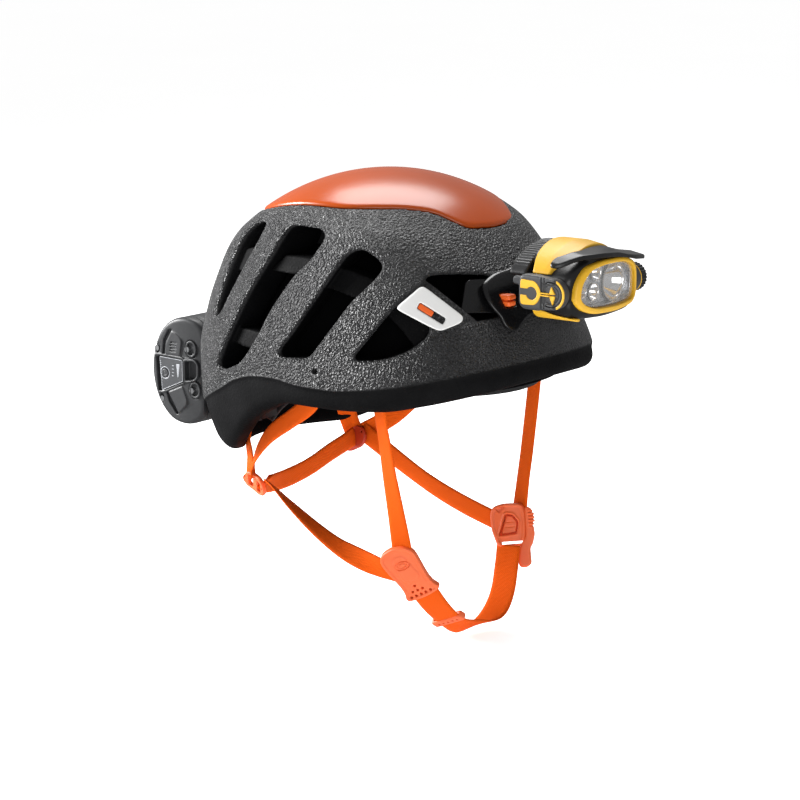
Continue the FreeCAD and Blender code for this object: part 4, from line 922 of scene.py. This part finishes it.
def knob():
    """The ribbed rubber knob on the left end of the tilt axis."""
    g = Grid((138, 40, 53), (162, 53, 78), 0.4)
    turn = np.arctan2(g.z - TILT_AXIS[1], g.x - TILT_AXIS[0])
    away = away_from(g.x, g.z, TILT_AXIS)
    field = slab(away - 9.1 - 0.35 * np.cos(turn * 26), g.y, 43.9, 51.2, 1.5)
    field = cut(field, slab(away - 5.6, g.y, 50.3, 55), 0.6)
    field = np.minimum(field, slab(away - 1.9, g.y, 38, 45))
    piece("lamp_knob", field, g, "knob", "knob_rubber")


# The arm from the side, as (forward, height).
ARM_BLOCK = [(126.2, 58), (129.4, 54.9), (141.4, 54.6), (144.6, 57.4), (145, 73.8), (142.2, 76.4),
             (129, 76.6), (126.4, 74)]
ARM_INLAY = [(128.4, 73.6), (139, 73), (142.4, 69.6), (143.1, 66.4), (143.1, 64.4), (142, 61.4), (139, 58.2),
             (128.8, 57.8), (128.2, 60), (128.2, 71)]
ARROW = [[(142.6, 66.5), (149.2, 66.4), (149.4, 65.6), (142.6, 65.7)],
         [(142.6, 65.1), (149.4, 65.0), (149.2, 64.2), (142.6, 64.3)],
         [(149.0, 66.2), (150.4, 70.6), (153.2, 65.8), (149.4, 65.6)],
         [(149.4, 65.0), (153.2, 64.8), (151.4, 59.2), (149.0, 64.4)]]
ARM_TONGUES = [[(142, 72.2), (152.5, 71.6), (153, 74.6), (142, 76)],
               [(142, 55.4), (152.5, 56.2), (152.3, 59.4), (142, 59.2)]]
ARM_REAR = [(119, 69.6), (129, 67.5), (129, 74), (120, 74.4)]


def bracket_arms():
    """Grey hinge blocks with a coloured inlay, each on a black arm from the plate."""
    g = Grid((96, -49, 50), (161, -36.6, 82), 0.4)
    away = away_from(g.x, g.z, TILT_AXIS)
    hinge = slab(outline_y(g, ARM_BLOCK, 2.5), g.y, -44.8, -37.5, 2.0)
    disc = slab(away - 9.6, g.y, -43.4, -37.5, 0.8)
    upper, lower = (slab(outline_y(g, corners, 1.0), g.y, -44.6, -38, 0.7) for corners in ARM_TONGUES)
    rear = slab(outline_y(g, ARM_REAR, 2), g.y, -41, -37.6, 1.2)
    field = smooth_min(smooth_min(hinge, disc, 0.7), np.minimum(upper, lower), 0.5)
    for x in (143.4, 145.6):
        field = cut(field, np.maximum(np.abs(g.x - x) - 0.3, g.y + 43.5))
    for radius in (7.6, 5.6):
        field = cut(field, shared(np.abs(away - radius) - 0.3, 146.4 - g.x, g.y + 42.9))
    field = np.maximum(smooth_min(field, rear, 1.0), 0.6 - skin_field(g))
    pair("bracket_arm", field, g, ("helmet", "helmet"), "arm_grey")
    arm_inlays()


def arm_inlays():
    """The coloured marks on both hinge blocks: a plate with a keyhole, an arrow and a crescent."""
    g = Grid((125, -47, 53), (161, -42, 79), 0.3)
    keyhole = np.minimum(away_from(g.x, g.z, (136.4, 65.3)) - 4.0,
                         np.maximum(np.abs(g.z - 65.9) - 2.0, g.x - 136.4))
    field = slab(cut(outline_y(g, ARM_INLAY, 2.0), keyhole), g.y, -45.15, -44.2, 0.2)
    for corners, outer in zip(ARROW, (45.15, 45.15, 44.3, 44.3)):
        field = np.minimum(field, slab(outline_y(g, corners), g.y, -outer, -42.6, 0.1))
    crescent = np.maximum(np.abs(away_from(g.x, g.z, TILT_AXIS) - 8.9) - 0.75, 153.6 - g.x)
    field = np.minimum(field, slab(crescent, g.y, -43.75, -42.8, 0.2))
    right = solid("arm_inlay_right", field, g)
    place(right, "helmet", "lamp_yellow")
    place(mirrored_copy(right, "arm_inlay_left"), "helmet", "lamp_yellow")


# Right half of the plate from the front, as (left, height).
PLATE_HALF = [(0, 76), (-14, 73), (-26, 72), (-34, 69.5), (-41, 66), (-43, 58), (-42, 52), (-39, 47),
              (-39, 42), (-36, 38), (-31, 37), (-24, 42), (-16, 46), (0, 46)]


def lamp_plate():
    """The smooth black plate on the forehead, with wings that run back to the side clips."""
    g = Grid((50, -96, 30), (128, 0, 82), 0.55)
    skin = skin_field(g)
    front = np.maximum(outline_x(g, PLATE_HALF, 7), 70 - g.x)
    plate = smooth_max(front, np.maximum(skin - 3.2, 0.5 - skin), 1.6)
    window = side_prism(g, -58, [(0, 50), (31, 48), (36, 68), (8, 69)], 4)
    behind = smooth_max(window, np.maximum(skin + 2.2, -(skin + 5.0)), 1.0)
    field = smooth_min(plate, behind, 2.5)
    field = cut(field, block(g, (107, -28.8, 56.2), (20, 4.6, 4.3), 1.0), 0.6)
    field = cut(field, rod(g, (104.5, -10, 60), (130, -10, 60), 2.3))
    piece("lamp_bracket", mirror_field(field), g, "helmet", "lamp_black", "plate_black")


def latches():
    """The orange two-ribbed latch buttons."""
    g = Grid((100, -35, 50), (114, -23, 63), 0.3)
    field = block(g, (106.8, -29.4, 56.2), (5.0, 3.9, 3.65), 1.3)
    groove = np.maximum(np.abs(g.z - 56.2) - 0.5, np.minimum(109 - g.x, g.y + 31.4))
    pair("bracket_latch", cut(field, groove, 0.8), g, ("latch_right", "latch_left"), "tab_orange")


# ================================================================ battery pack
# The pack from the side, as (forward, height).
PACK_OUTLINE = [(-137, -45), (-137, 8), (-139.5, 13), (-144, 16.8), (-150, 18.4), (-156, 18.5), (-163, 17),
                (-170, 13.2), (-176, 7), (-180.5, -1.5), (-183, -9.5), (-184, -18), (-183.6, -26),
                (-181.6, -34.5), (-177.6, -43), (-172, -49.8), (-165, -54.6), (-156, -56.5), (-148, -55.8),
                (-142, -53), (-138.5, -49)]
LABEL = [(-175.4, -10.4), (-153.8, -10.8), (-153.6, -26), (-173.4, -34.4)]
PACK_END = -45.0
PACK_STANDOFF = 5.0
# A plane well outside the end, where cuts into it start.
PACK_OUTSIDE = -60.0
# Each pocket's outline and depth.
PACK_POCKETS = [
    ([(-164.2, 9.8), (-168, 8.6), (-172.4, 1.5), (-173.8, -8.9), (-171.6, -9.0), (-170.3, -0.1),
      (-164.6, 8.8)], 2.4),
    ([(-170.8, -35.2), (-168.7, -34.6), (-159.2, -49.4), (-161.2, -50), (-168, -42.2)], 2.4),
    ([(-179.4, -11.2), (-175.9, -10.4), (-174.2, -34.6), (-178.2, -35.2)], 2.8),
    ([(-152.6, -12.2), (-144.6, -11.4), (-141.8, -14), (-142, -20.6), (-145.8, -24), (-152.4, -24.6)], 4.2),
    ([(-155.4, 3.5), (-150, -1), (-149.6, -9.4), (-156.4, -9.4)], 0.8),
]
PACK_SCREWS = [(-178.2, -4.8), (-174.8, -40.2), (-151.2, -3.5), (-147.5, -31.9)]
PACK_BOSSES = [(-147.6, -2.8), (-144.4, -31.2)]
PACK_LOOP = [(-153.6, -10.2), (-143.4, -9.4), (-139.9, -12.6), (-140.1, -21.6), (-144.6, -25.6),
             (-153.6, -26.6)]
PACK_RAIL = [(-181, -9.2), (-174.6, -8.9), (-153.2, -9.4), (-152.6, -27.2), (-173, -36.2), (-178.6, -36.6)]
PACK_PANELS = [
    [(-164.4, 8), (-160.8, 7.4), (-156, 3.6), (-155.2, 1), (-157, -8.6), (-170.8, -8.6), (-169.6, -0.6)],
    [(-168.2, -35), (-155, -29.4), (-151, -38.6), (-151.2, -42), (-157.9, -48.6), (-159, -48.4)]]
GAUGE = (-170.2, -21.6)
# The layer that the label's printed marks fill, along Y.
PRINT = (-46.2, -45.6)


def pack_drum(g, out):
    """Distance to an upright oval drum round the back of the helmet."""
    middle, reach, half = -3.25, 139.25 + out, 110 + out
    ratio = np.sqrt(((g.x - middle) / reach) ** 2 + (g.y / half) ** 2)
    return (ratio - 1) * 125.0


def pack_end_field(g):
    """The detailed right-hand end: panels, slits, bosses, loop and the label's rail."""
    face = PACK_END + 3.2 * np.clip((g.x + 160) / 24, 0, 1) ** 1.6
    field = smooth_max(outline_y(g, PACK_OUTLINE, 4), face - g.y, 3.4)
    for corners, depth in PACK_POCKETS:
        field = cut(field, slab(outline_y(g, corners, 0.8), g.y, PACK_OUTSIDE, PACK_END + depth), 0.5)
    for x, z in PACK_SCREWS[:2]:
        screw = np.sqrt(((g.x - x) / 1.0) ** 2 + ((g.z - z) / 1.5) ** 2) - 2.4
        field = cut(field, np.maximum(screw, g.y - PACK_END - 2.2), 0.5)
    loop, rail = np.abs(outline_y(g, PACK_LOOP, 2.4) + 0.6), np.abs(outline_y(g, PACK_RAIL, 2.0) + 0.5)
    field = smooth_min(field, slab(loop - 0.75, g.y, -45.6, -40, 0.4), 0.4)
    field = smooth_min(field, slab(rail - 0.7, g.y, -45.5, -42, 0.4), 0.5)
    for x, z in PACK_BOSSES:
        away = np.sqrt((g.x - x) ** 2 + ((g.z - z) * 0.85) ** 2)
        field = cut(field, slab(away - 5.4, g.y, PACK_OUTSIDE, PACK_END + 2.6), 0.5)
        field = smooth_min(field, slab(np.abs(away - 4.3) - 0.7, g.y, -44.4, -38, 0.4), 0.4)
    upper, lower = (slab(outline_y(g, corners, 1.2), g.y, -45.5, -40, 0.4) for corners in PACK_PANELS)
    field = smooth_min(field, np.minimum(upper, lower), 0.3)
    for x, z in ((-162.4, 0.2), (-163.4, -1.8), (-163, -3.8), (-163.4, -5.8)):
        field = cut(field, block(g, (x, -46, z), (2.9, 1.4, 0.42), 0.2))
    return field


def battery_pack():
    """All the pack's pieces."""
    pack_ends()
    pack_casing()
    pack_label()
    gauge_button()
    cable_inlet()


def pack_ends():
    """The detailed right-hand end cap and the plain left one, which is shaped on the right and mirrored."""
    g = Grid((-188, -50, -60), (-130, -30, 24), 0.4)
    drum = pack_drum(g, PACK_STANDOFF)
    field = cut(pack_end_field(g), drum, 1.0)
    piece("pack_end_cap_right", np.maximum(field, g.y + 37.15), g, "pack", "pack_grey")
    outline = outline_y(g, PACK_OUTLINE, 4)
    plain = cut(smooth_max(outline, PACK_END - g.y, 3.4), drum, 1.0)
    for screw in PACK_SCREWS:
        plain = cut(plain, np.maximum(away_from(g.x, g.z, screw) - 2.5, g.y - PACK_END - 1.5), 0.5)
    plain = cut(plain, slab(np.abs(outline + 8) - 0.6, g.y, PACK_OUTSIDE, PACK_END + 0.8), 0.4)
    source = solid("pack_left_source", np.maximum(plain, g.y + 37.15), g)
    place(mirrored_copy(source, "pack_end_cap_left_visual"), "pack", "pack_grey", "pack_end_cap_left")
    bpy.data.objects.remove(source)


def pack_casing():
    """The hollow casing between the end caps, with a groove near each end."""
    g = Grid((-188, -38, -60), (-130, 38, 24), 0.8)
    outline = outline_y(g, PACK_OUTLINE, 4)
    grooves = 0.8 * (1 - ease(np.abs(np.abs(g.y) - 34.2), 0.5, 1.1))
    field = smooth_max(outline + grooves, np.abs(g.y) - 36.9, 0.6)
    field = cut(field, pack_drum(g, PACK_STANDOFF), 1.0)
    piece("pack_body", cut(field, slab(outline + 3.5, g.y, -34, 34)), g, "pack", "pack_grey")


def pack_label():
    """The label panel with a hole for the gauge button, and the marks printed on it."""
    g = Grid((-179, -48, -37), (-151, -43, -8), 0.25)
    label = outline_y(g, LABEL, 1.0)
    away = away_from(g.x, g.z, GAUGE)
    piece("pack_label_panel", cut(slab(label, g.y, -46.0, -45.0, 0.15), away - 3.3), g, "pack", "label_grey")
    wedge = outline_y(g, [(-159.6, -14.2), (-156.2, -14), (-157.6, -23.4), (-158.6, -23.4)])
    ticks = shared(np.abs(g.x + 174.3 - (g.z + 12) * -0.06) - 0.45, np.abs(np.mod(g.z, 1.3) - 0.65) - 0.3,
                   np.abs(g.z + 22) - 9.5)
    shapes = (np.abs(label + 0.35) - 0.22, np.abs(away - 4.1) - 0.35, wedge, ticks)
    marks = np.minimum.reduce([slab(shape, g.y, *PRINT) for shape in shapes])
    for x, z in ((-162.6, -15.8), (-162.7, -18.2), (-162.8, -20.6), (-162.9, -23)):
        marks = np.minimum(marks, block(g, (x, -46, z), (0.9, 0.2, 0.35)))
    place(solid("pack_label_marks", marks, g), "pack", "label_grey", look="label_marks")


def gauge_button():
    """The round gauge button in the label, with a ring cut in its face."""
    g = Grid((-175, -49, -27), (-166, -41, -17), 0.25)
    away = away_from(g.x, g.z, GAUGE)
    button = slab(away - 2.9, g.y, -46.5, -42.3, 0.5)
    button = cut(button, slab(np.abs(away - 1.4) - 0.25, g.y, -47, -46.2))
    piece("gauge_button", button, g, "gauge", "label_grey")


def cable_inlet():
    """The ribbed rubber sleeve on top of the pack."""
    g = Grid((-163, 10, 12), (-151, 22, 27), 0.35)
    ribs = 0.5 * (np.abs(np.mod(g.z, 2.2) - 1.1) < 0.35)
    inlet = slab(away_from(g.x, g.y, (-157, 16)) - 4.4 + ribs, g.z, 15, 24.8, 0.8)
    piece("pack_cable_inlet", inlet, g, "pack", "knob_rubber")


def cradle():
    """The nape cradle: a band inside the rear half whose lower edge keeps above the rim."""
    g = Grid((-109, -78, -42), (-14, 0, -12), 0.7)
    oval = (np.sqrt((g.x / 105) ** 2 + (g.y / 74.4) ** 2) - 1) * 85
    low = np.maximum(rim_line(g.x) + 3.0, -38.5)
    edges = shared(low - g.z, g.z + 14.4, g.x + 33)
    field = smooth_max(np.maximum(oval, -(oval + 2.0)), edges, 0.8)
    piece("nape_cradle", mirror_field(field), g, "cradle", "band_black")


# ================================================================ pads
def puffed(node, body, corner_low, corner_high, lay, thick, seams):
    """A soft pad laid on a curved surface; lay(u, v) gives a point and the way the pad swells."""
    wide, tall = 56, 26
    us, vs = (np.linspace(low, high, many) for low, high, many in zip(corner_low, corner_high, (wide, tall)))
    back, front = [], []
    for i, u in enumerate(us):
        for j, v in enumerate(vs):
            a, b = abs(2 * i / (wide - 1) - 1), abs(2 * j / (tall - 1) - 1)
            puff = max(0.0, 1 - a ** 8) ** 0.45 * max(0.0, 1 - b ** 6) ** 0.5
            for seam in seams:
                puff *= 1 - 0.45 * math.exp(-((u - seam) / 1.3) ** 2)
            spot, way = (np.array(part) for part in lay(u, v))
            back.append(spot + way * 0.15)
            front.append(spot + way * (thick * (0.12 + 0.88 * puff)))
    count = wide * tall
    faces = []
    for i in range(wide - 1):
        for j in range(tall - 1):
            a = i * tall + j
            quad = (a, a + 1, a + tall + 1, a + tall)
            faces += [quad, tuple(count + k for k in reversed(quad))]
    edge = [i * tall for i in range(wide)] + [(wide - 1) * tall + j for j in range(1, tall)]
    edge += [i * tall + tall - 1 for i in range(wide - 2, -1, -1)] + [j for j in range(tall - 2, 0, -1)]
    faces += [(b, a, count + a, count + b) for a, b in zip(edge, edge[1:] + edge[:1])]
    thing = new_object(f"{node}_visual", back + front, faces)
    place(thing, body, "pad_cloth", node)


def ring_lay(length, width, inset, side=1.0):
    """Lays a pad inside an oval ring: u is the distance along Y, v the height."""
    def lay(u, v):
        share = math.sqrt(max(0.0, 1 - (u / (width - inset)) ** 2))
        out = np.array((side * share / (length - inset), u / (width - inset) ** 2, 0.0))
        out /= np.linalg.norm(out)
        return (side * (length - inset) * share, u, v), -out
    return lay


def crown_lay(u, v):
    """Lays a pad under the crown: u is the distance forward, v the distance to the left."""
    a, b, c = (radius - wall - 0.3 for radius, wall in zip(DOME_RADII, (BROW_WALL, CROWN_WALL, CROWN_WALL)))
    height = c * math.sqrt(1 - ((u + 10) / a) ** 2 - (v / b) ** 2)
    out = np.array(((u + 10) / a ** 2, v / b ** 2, height / c ** 2))
    return (u, v, height - 20), -out / np.linalg.norm(out)


def side_lay(side):
    """Lays a pad on one side wall: u is the distance forward, v the height."""
    def lay(u, v):
        z = np.array([v])
        depth = section(z, 4)[0] + 0.4
        reach = (section(z, 1) if u > 0 else section(z, 2))[0] - depth
        half = section(z, 3)[0] - depth
        return (u, side * half * (1 - (abs(u) / reach) ** 2) ** 0.5, v), (0, -side, 0.05)
    return lay


def pads():
    """Forehead, nape, crown and side pads."""
    front, nape = ring_lay(100, 75.5, 2.1), ring_lay(105, 75.5, 2.1, -1.0)
    puffed("front_pad", "helmet", (-48, -7), (48, 17), front, 7.0, (-30, -10, 10, 30))
    puffed("nape_pad", "cradle", (-34, -38), (34, -16), nape, 5.0, (-12, 12))
    puffed("crown_pad", "helmet", (-50, -15), (42, 15), crown_lay, 6.6, (-20, 12))
    for name, side in (("right", -1), ("left", 1)):
        puffed(f"side_pad_{name}", "helmet", (-12, 25), (22, 49), side_lay(side), 6.2, (5,))


# ================================================================ materials
def base_material(name, colour, roughness, **more):
    """A material with its constants on the shader itself."""
    material = bpy.data.materials.new(name)
    material.use_nodes = True
    shader = material.node_tree.nodes["Principled BSDF"]
    shader.inputs["Base Color"].default_value = (*colour, 1)
    shader.inputs["Roughness"].default_value = roughness
    for label, value in more.items():
        shader.inputs[label.replace("_", " ")].default_value = value
    return material


class Nodes:
    """Short names for adding and linking a material's nodes."""

    def __init__(self, material):
        self.tree = material.node_tree
        self.shader = self.tree.nodes["Principled BSDF"]

    def add(self, kind, settings=None, **inputs):
        made = self.tree.nodes.new(kind)
        for label, value in (settings or {}).items():
            setattr(made, label, value)
        for label, value in inputs.items():
            socket = made.inputs[int(label[1:])] if label[0] == "i" and label[1:].isdigit() \
                else made.inputs[label.replace("_", " ")]
            if isinstance(value, bpy.types.NodeSocket):
                self.tree.links.new(value, socket)
            else:
                socket.default_value = value
        return made

    def place(self):
        return self.add("ShaderNodeTexCoord").outputs["Object"]

    def noise(self, scale, detail=2.0, distortion=0.0):
        return self.add("ShaderNodeTexNoise", Vector=self.place(), Scale=scale, Detail=detail,
                        Distortion=distortion).outputs["Fac"]

    def attribute(self, name):
        return self.add("ShaderNodeAttribute", dict(attribute_name=name)).outputs["Fac"]

    def spread(self, value, low, high):
        return self.add("ShaderNodeMapRange", Value=value, To_Min=low, To_Max=high).outputs[0]

    def mix_colour(self, factor, first, second):
        ramp = self.add("ShaderNodeValToRGB", Fac=factor)
        ramp.color_ramp.elements[0].color = (*first, 1)
        ramp.color_ramp.elements[1].color = (*second, 1)
        ramp.color_ramp.elements[0].position = 0.3
        ramp.color_ramp.elements[1].position = 0.7
        return ramp.outputs["Color"]

    def math(self, operation, first, second=0.0):
        return self.add("ShaderNodeMath", dict(operation=operation), i0=first, i1=second).outputs[0]

    def bump(self, height, strength, distance):
        return self.add("ShaderNodeBump", Height=height, Strength=strength,
                        Distance=distance).outputs["Normal"]

    def link(self, output, label):
        self.tree.links.new(output, self.shader.inputs[label])


def foam_material():
    """Moulded bead foam: a leathery grain on the skin, finer and flatter elsewhere. The inside is painted
    far darker than the skin, and the un-grained outer faces nearly as dark: painted shade.
    """
    material = base_material("foam_skin", (0.03, 0.03, 0.032), 0.5, Specular_IOR_Level=0.6)
    n = Nodes(material)
    grain = n.attribute("grain")
    rim = n.attribute("rim")
    worms = n.noise(520, 1.0, 1.3)
    cells = n.add("ShaderNodeTexVoronoi", dict(feature="DISTANCE_TO_EDGE"), Vector=n.place(),
                  Scale=430.0).outputs["Distance"]
    height = n.math("ADD", n.math("MULTIPLY", worms, 0.8), n.math("MULTIPLY", cells, 0.9))
    height = n.math("MULTIPLY", height, n.math("MAXIMUM", grain, 0.1))
    n.link(n.bump(height, 1.0, 0.0022), "Normal")
    patches = n.noise(60, 3.0)
    skin = n.mix_colour(patches, (0.013, 0.013, 0.014), (0.019, 0.019, 0.0203))
    # The inside's colour is about five times darker than the skin's: painted shade in the hollow and down
    # the vents.
    inside = n.mix_colour(patches, (0.0025, 0.0025, 0.0028), (0.004, 0.004, 0.0044))
    # Outer faces without grain, such as the smooth band above the rim, get only 15% of the skin colour:
    # painted shade along the lower edge.
    share = n.math("MAXIMUM", grain, n.math("MULTIPLY", rim, 0.15))
    both = n.add("ShaderNodeMix", dict(data_type="RGBA"), Factor=share)
    n.tree.links.new(inside, both.inputs[6])
    n.tree.links.new(skin, both.inputs[7])
    n.link(both.outputs[2], "Base Color")
    smooth = n.math("MULTIPLY", n.math("SUBTRACT", 1.0, grain), 0.25)
    n.link(n.math("ADD", n.spread(worms, 0.28, 0.52), smooth), "Roughness")
    n.link(n.math("ADD", n.math("MULTIPLY", grain, 0.55), 0.06), "Specular IOR Level")
    return material


def cap_material():
    """Satin-gloss orange shell with a faint moulding texture."""
    material = base_material("cap_shell", (0.72, 0.11, 0.008), 0.26, Specular_IOR_Level=0.4)
    n = Nodes(material)
    n.link(n.bump(n.noise(1400, 2.0), 0.12, 0.0002), "Normal")
    n.link(n.mix_colour(n.noise(25, 2.0), (0.44, 0.063, 0.0022), (0.48, 0.069, 0.003)), "Base Color")
    return material


def stage_material():
    """The pale floor."""
    material = base_material("pale_floor", (0.9, 0.9, 0.9), 0.7, Emission_Color=(1, 1, 1, 1),
                             Emission_Strength=0.72)
    n = Nodes(material)
    n.link(n.mix_colour(n.noise(3, 2.0), (0.89, 0.89, 0.89), (0.91, 0.91, 0.91)), "Base Color")
    return material


def moulded(name, colour, roughness, grain, depth, shift=0.06, **more):
    """Moulded plastic: a fine surface grain and a slight change of shade."""
    material = base_material(name, colour, roughness, **more)
    n = Nodes(material)
    n.link(n.bump(n.noise(grain, 3.0), 0.35, depth), "Normal")
    lighter = tuple(part * (1 + shift) for part in colour)
    darker = tuple(part * (1 - shift) for part in colour)
    n.link(n.mix_colour(n.noise(40, 3.0), darker, lighter), "Base Color")
    n.link(n.spread(n.noise(120, 2.0), roughness * 0.85, min(1.0, roughness * 1.15)), "Roughness")
    return material


def webbing_material():
    """Woven tape: cross ribs and lengthways yarns."""
    material = base_material("webbing_weave", (0.72, 0.1, 0.008), 0.8, Specular_IOR_Level=0.08)
    n = Nodes(material)
    along = n.attribute("along")
    across = n.attribute("across")
    ribs = n.math("SINE", n.math("MULTIPLY", along, 2 * math.pi / 0.9))
    slant = n.math("ADD", n.math("MULTIPLY", across, 2 * math.pi / 1.35),
                   n.math("MULTIPLY", along, 2 * math.pi / 1.8))
    yarns = n.math("SINE", slant)
    weave = n.math("ADD", n.math("MULTIPLY", ribs, 0.5), n.math("MULTIPLY", yarns, 0.5))
    fuzz = n.noise(1500, 2.0)
    height = n.math("ADD", weave, n.math("MULTIPLY", fuzz, 0.8))
    n.link(n.bump(height, 0.55, 0.00028), "Normal")
    shade = n.math("ADD", n.math("MULTIPLY", weave, 0.25), 0.5)
    n.link(n.mix_colour(shade, (0.6, 0.075, 0.0025), (0.76, 0.1, 0.0045)), "Base Color")
    return material


def pad_material():
    """Knitted pad cloth."""
    material = base_material("pad_knit", (0.022, 0.022, 0.024), 0.85, Sheen_Weight=0.4)
    n = Nodes(material)
    cells = n.add("ShaderNodeTexVoronoi", dict(feature="F1"), Vector=n.place(),
                  Scale=700.0).outputs["Distance"]
    n.link(n.bump(n.math("ADD", cells, n.noise(90, 2.0)), 0.7, 0.0006), "Normal")
    n.link(n.mix_colour(n.noise(200, 2.0), (0.018, 0.018, 0.02), (0.03, 0.03, 0.033)), "Base Color")
    return material


def lens_material():
    """Clear lens plastic."""
    material = base_material("clear_lens", (0.9, 0.9, 0.9), 0.04, Alpha=0.1, IOR=1.45)
    n = Nodes(material)
    n.link(n.bump(n.noise(60, 1.0), 0.03, 0.0002), "Normal")
    return material


def metal(name, colour, roughness):
    """Metal with light brushing."""
    material = base_material(name, colour, roughness, Metallic=1.0)
    n = Nodes(material)
    n.link(n.bump(n.noise(400, 2.0), 0.2, 0.0001), "Normal")
    n.link(n.spread(n.noise(250, 2.0), roughness * 0.7, roughness * 1.3), "Roughness")
    return material


def make_materials():
    """Every shared material by name."""
    black, deep = (0.007, 0.007, 0.0075), (0.004, 0.004, 0.0045)
    return {
        "foam": foam_material(),
        "cap_orange": cap_material(),
        "webbing": webbing_material(),
        "fittings": moulded("fittings_plastic", (0.78, 0.125, 0.03), 0.45, 1100, 0.0001),
        # A darker copy of the fittings' orange: painted shade for the far adjuster.
        "fittings_painted_shade": moulded("fittings_shaded", (0.42, 0.03, 0.005), 0.5, 1100, 0.0001),
        "clip_white": moulded("clip_plastic", (0.78, 0.78, 0.77), 0.38, 1100, 0.0001, 0.02),
        "tab_orange": moulded("tab_plastic", (0.85, 0.13, 0.015), 0.4, 1100, 0.0001),
        "lamp_black": moulded("lamp_plastic", black, 0.34, 1300, 0.00012),
        "plate_black": moulded("plate_plastic", deep, 0.24, 1300, 0.00006),
        "lamp_yellow": moulded("yellow_plastic", (0.72, 0.4, 0.015), 0.45, 1100, 0.0001, 0.03),
        "arm_grey": moulded("arm_plastic", (0.045, 0.046, 0.049), 0.5, 1200, 0.0002),
        "sink": moulded("sink_plastic", (0.012, 0.012, 0.013), 0.4, 900, 0.00012),
        "lens": lens_material(),
        "reflector": metal("chrome", (0.9, 0.9, 0.91), 0.07),
        "reflector_plate": metal("satin_chrome", (0.62, 0.63, 0.65), 0.28),
        "chips": moulded("chip_phosphor", (0.93, 0.7, 0.08), 0.5, 2500, 0.0001),
        "board": moulded("board_coat", (0.01, 0.06, 0.03), 0.35, 1500, 0.00008),
        "knob_rubber": moulded("knob_rubber", (0.014, 0.014, 0.015), 0.62, 1500, 0.0002),
        "pack_grey": moulded("pack_plastic", (0.026, 0.027, 0.029), 0.46, 1200, 0.00022),
        "label_grey": moulded("label_plastic", (0.05, 0.052, 0.056), 0.4, 1500, 0.0001),
        "label_marks": moulded("label_print", (0.3, 0.31, 0.33), 0.45, 1500, 0.00005, 0.03),
        "pad_cloth": pad_material(),
        # A near-black, almost unreflective sheet: painted shade behind the vents.
        "net": moulded("net_cloth", (0.002, 0.002, 0.0022), 0.9, 2200, 0.0003, Specular_IOR_Level=0.03),
        "liner": moulded("liner_plastic", (0.008, 0.008, 0.009), 0.5, 500, 0.0004),
        "band_black": moulded("band_plastic", (0.014, 0.014, 0.015), 0.42, 1200, 0.0002),
        "steel": metal("steel", (0.55, 0.56, 0.57), 0.3),
        "cells": moulded("cell_sleeve", (0.02, 0.05, 0.16), 0.3, 1500, 0.00006),
    }


def carried_over():
    """Detailed materials for the frame's own nodes that stay in view."""
    slots = [entry["slot"] for entry in frame["record"]["materials"]]
    for thing in frame["nodes"].values():
        if not thing.hide_render and thing.data.materials and thing.data.materials[0]:
            slot = thing.data.materials[0].name.split(".")[0]
            if slot in slots:
                thing.data.materials.clear()
                thing.data.materials.append(MATERIALS[slot])


# ================================================================ camera, light and floor
CAMERA_TURN = math.radians(38)
CAMERA_RISE = math.radians(12)
CAMERA_DISTANCE = 1.6
PIXELS_PER_METRE = 1510.0
FRAME_PIXELS = 800
AIM_DOWN = 39 / PIXELS_PER_METRE
SENSOR_WIDTH = 36


def camera():
    """The camera at the viewing angle: right-hand side, from slightly in front and above."""
    towards = Vector((math.sin(CAMERA_TURN) * math.cos(CAMERA_RISE),
                      -math.cos(CAMERA_TURN) * math.cos(CAMERA_RISE), math.sin(CAMERA_RISE)))
    right = Vector((math.cos(CAMERA_TURN), math.sin(CAMERA_TURN), 0))
    up = towards.cross(right)
    eye = linked("camera", bpy.data.cameras.new("camera"))
    eye.data.sensor_width = SENSOR_WIDTH
    eye.data.lens = SENSOR_WIDTH * PIXELS_PER_METRE * CAMERA_DISTANCE / FRAME_PIXELS
    eye.data.clip_start = 0.05
    eye.location = towards * CAMERA_DISTANCE - up * AIM_DOWN
    eye.rotation_euler = towards.to_track_quat("Z", "Y").to_euler()
    bpy.context.scene.camera = eye


def area_light(name, spot, aim, width, power):
    """A soft square light."""
    lamp = bpy.data.lights.new(name, "AREA")
    lamp.size, lamp.energy = width, power
    thing = linked(name, lamp)
    thing.location = spot
    thing.rotation_euler = (Vector(spot) - Vector(aim)).to_track_quat("Z", "Y").to_euler()


def studio():
    """Floor, a white surround and soft lights."""
    size, gap = 60.0, 0.006
    low = CAD_BOX[0][2] - gap
    corners = [(-size, -size, low), (size, -size, low), (size, size, low), (-size, size, low)]
    floor = new_object("floor", np.array(corners) / MM, [(0, 1, 2, 3)], False)
    floor.data.materials.append(stage_material())
    floor.visible_glossy = False
    world = bpy.context.scene.world or bpy.data.worlds.new("studio")
    bpy.context.scene.world = world
    world.use_nodes = True
    world.node_tree.nodes["Background"].inputs[0].default_value = (1, 1, 1, 1)
    world.node_tree.nodes["Background"].inputs[1].default_value = 0.3
    area_light("key", (-1.4, -0.7, 0.5), (0, 0, 0.03), 0.6, 54)
    area_light("top", (-0.37, 0.54, 1.25), (0, 0, 0.1), 0.85, 18)
    area_light("front", (1.0, -1.2, 0.1), (0, 0, -0.05), 0.9, 7.5)


# ================================================================ build
bpy.context.scene.view_settings.view_transform = "Standard"
camera()
studio()
MATERIALS = make_materials()
foam_shell()
vent_net()
top_cap()
harness()
chin_guide()
chin_slider()
buckle()
adjusters()
clips()
lamp_housing()
lamp_band()
heat_sink()
bezel_and_lens()
reflectors()
knob()
bracket_arms()
lamp_plate()
latches()
battery_pack()
cradle()
pads()
carried_over()
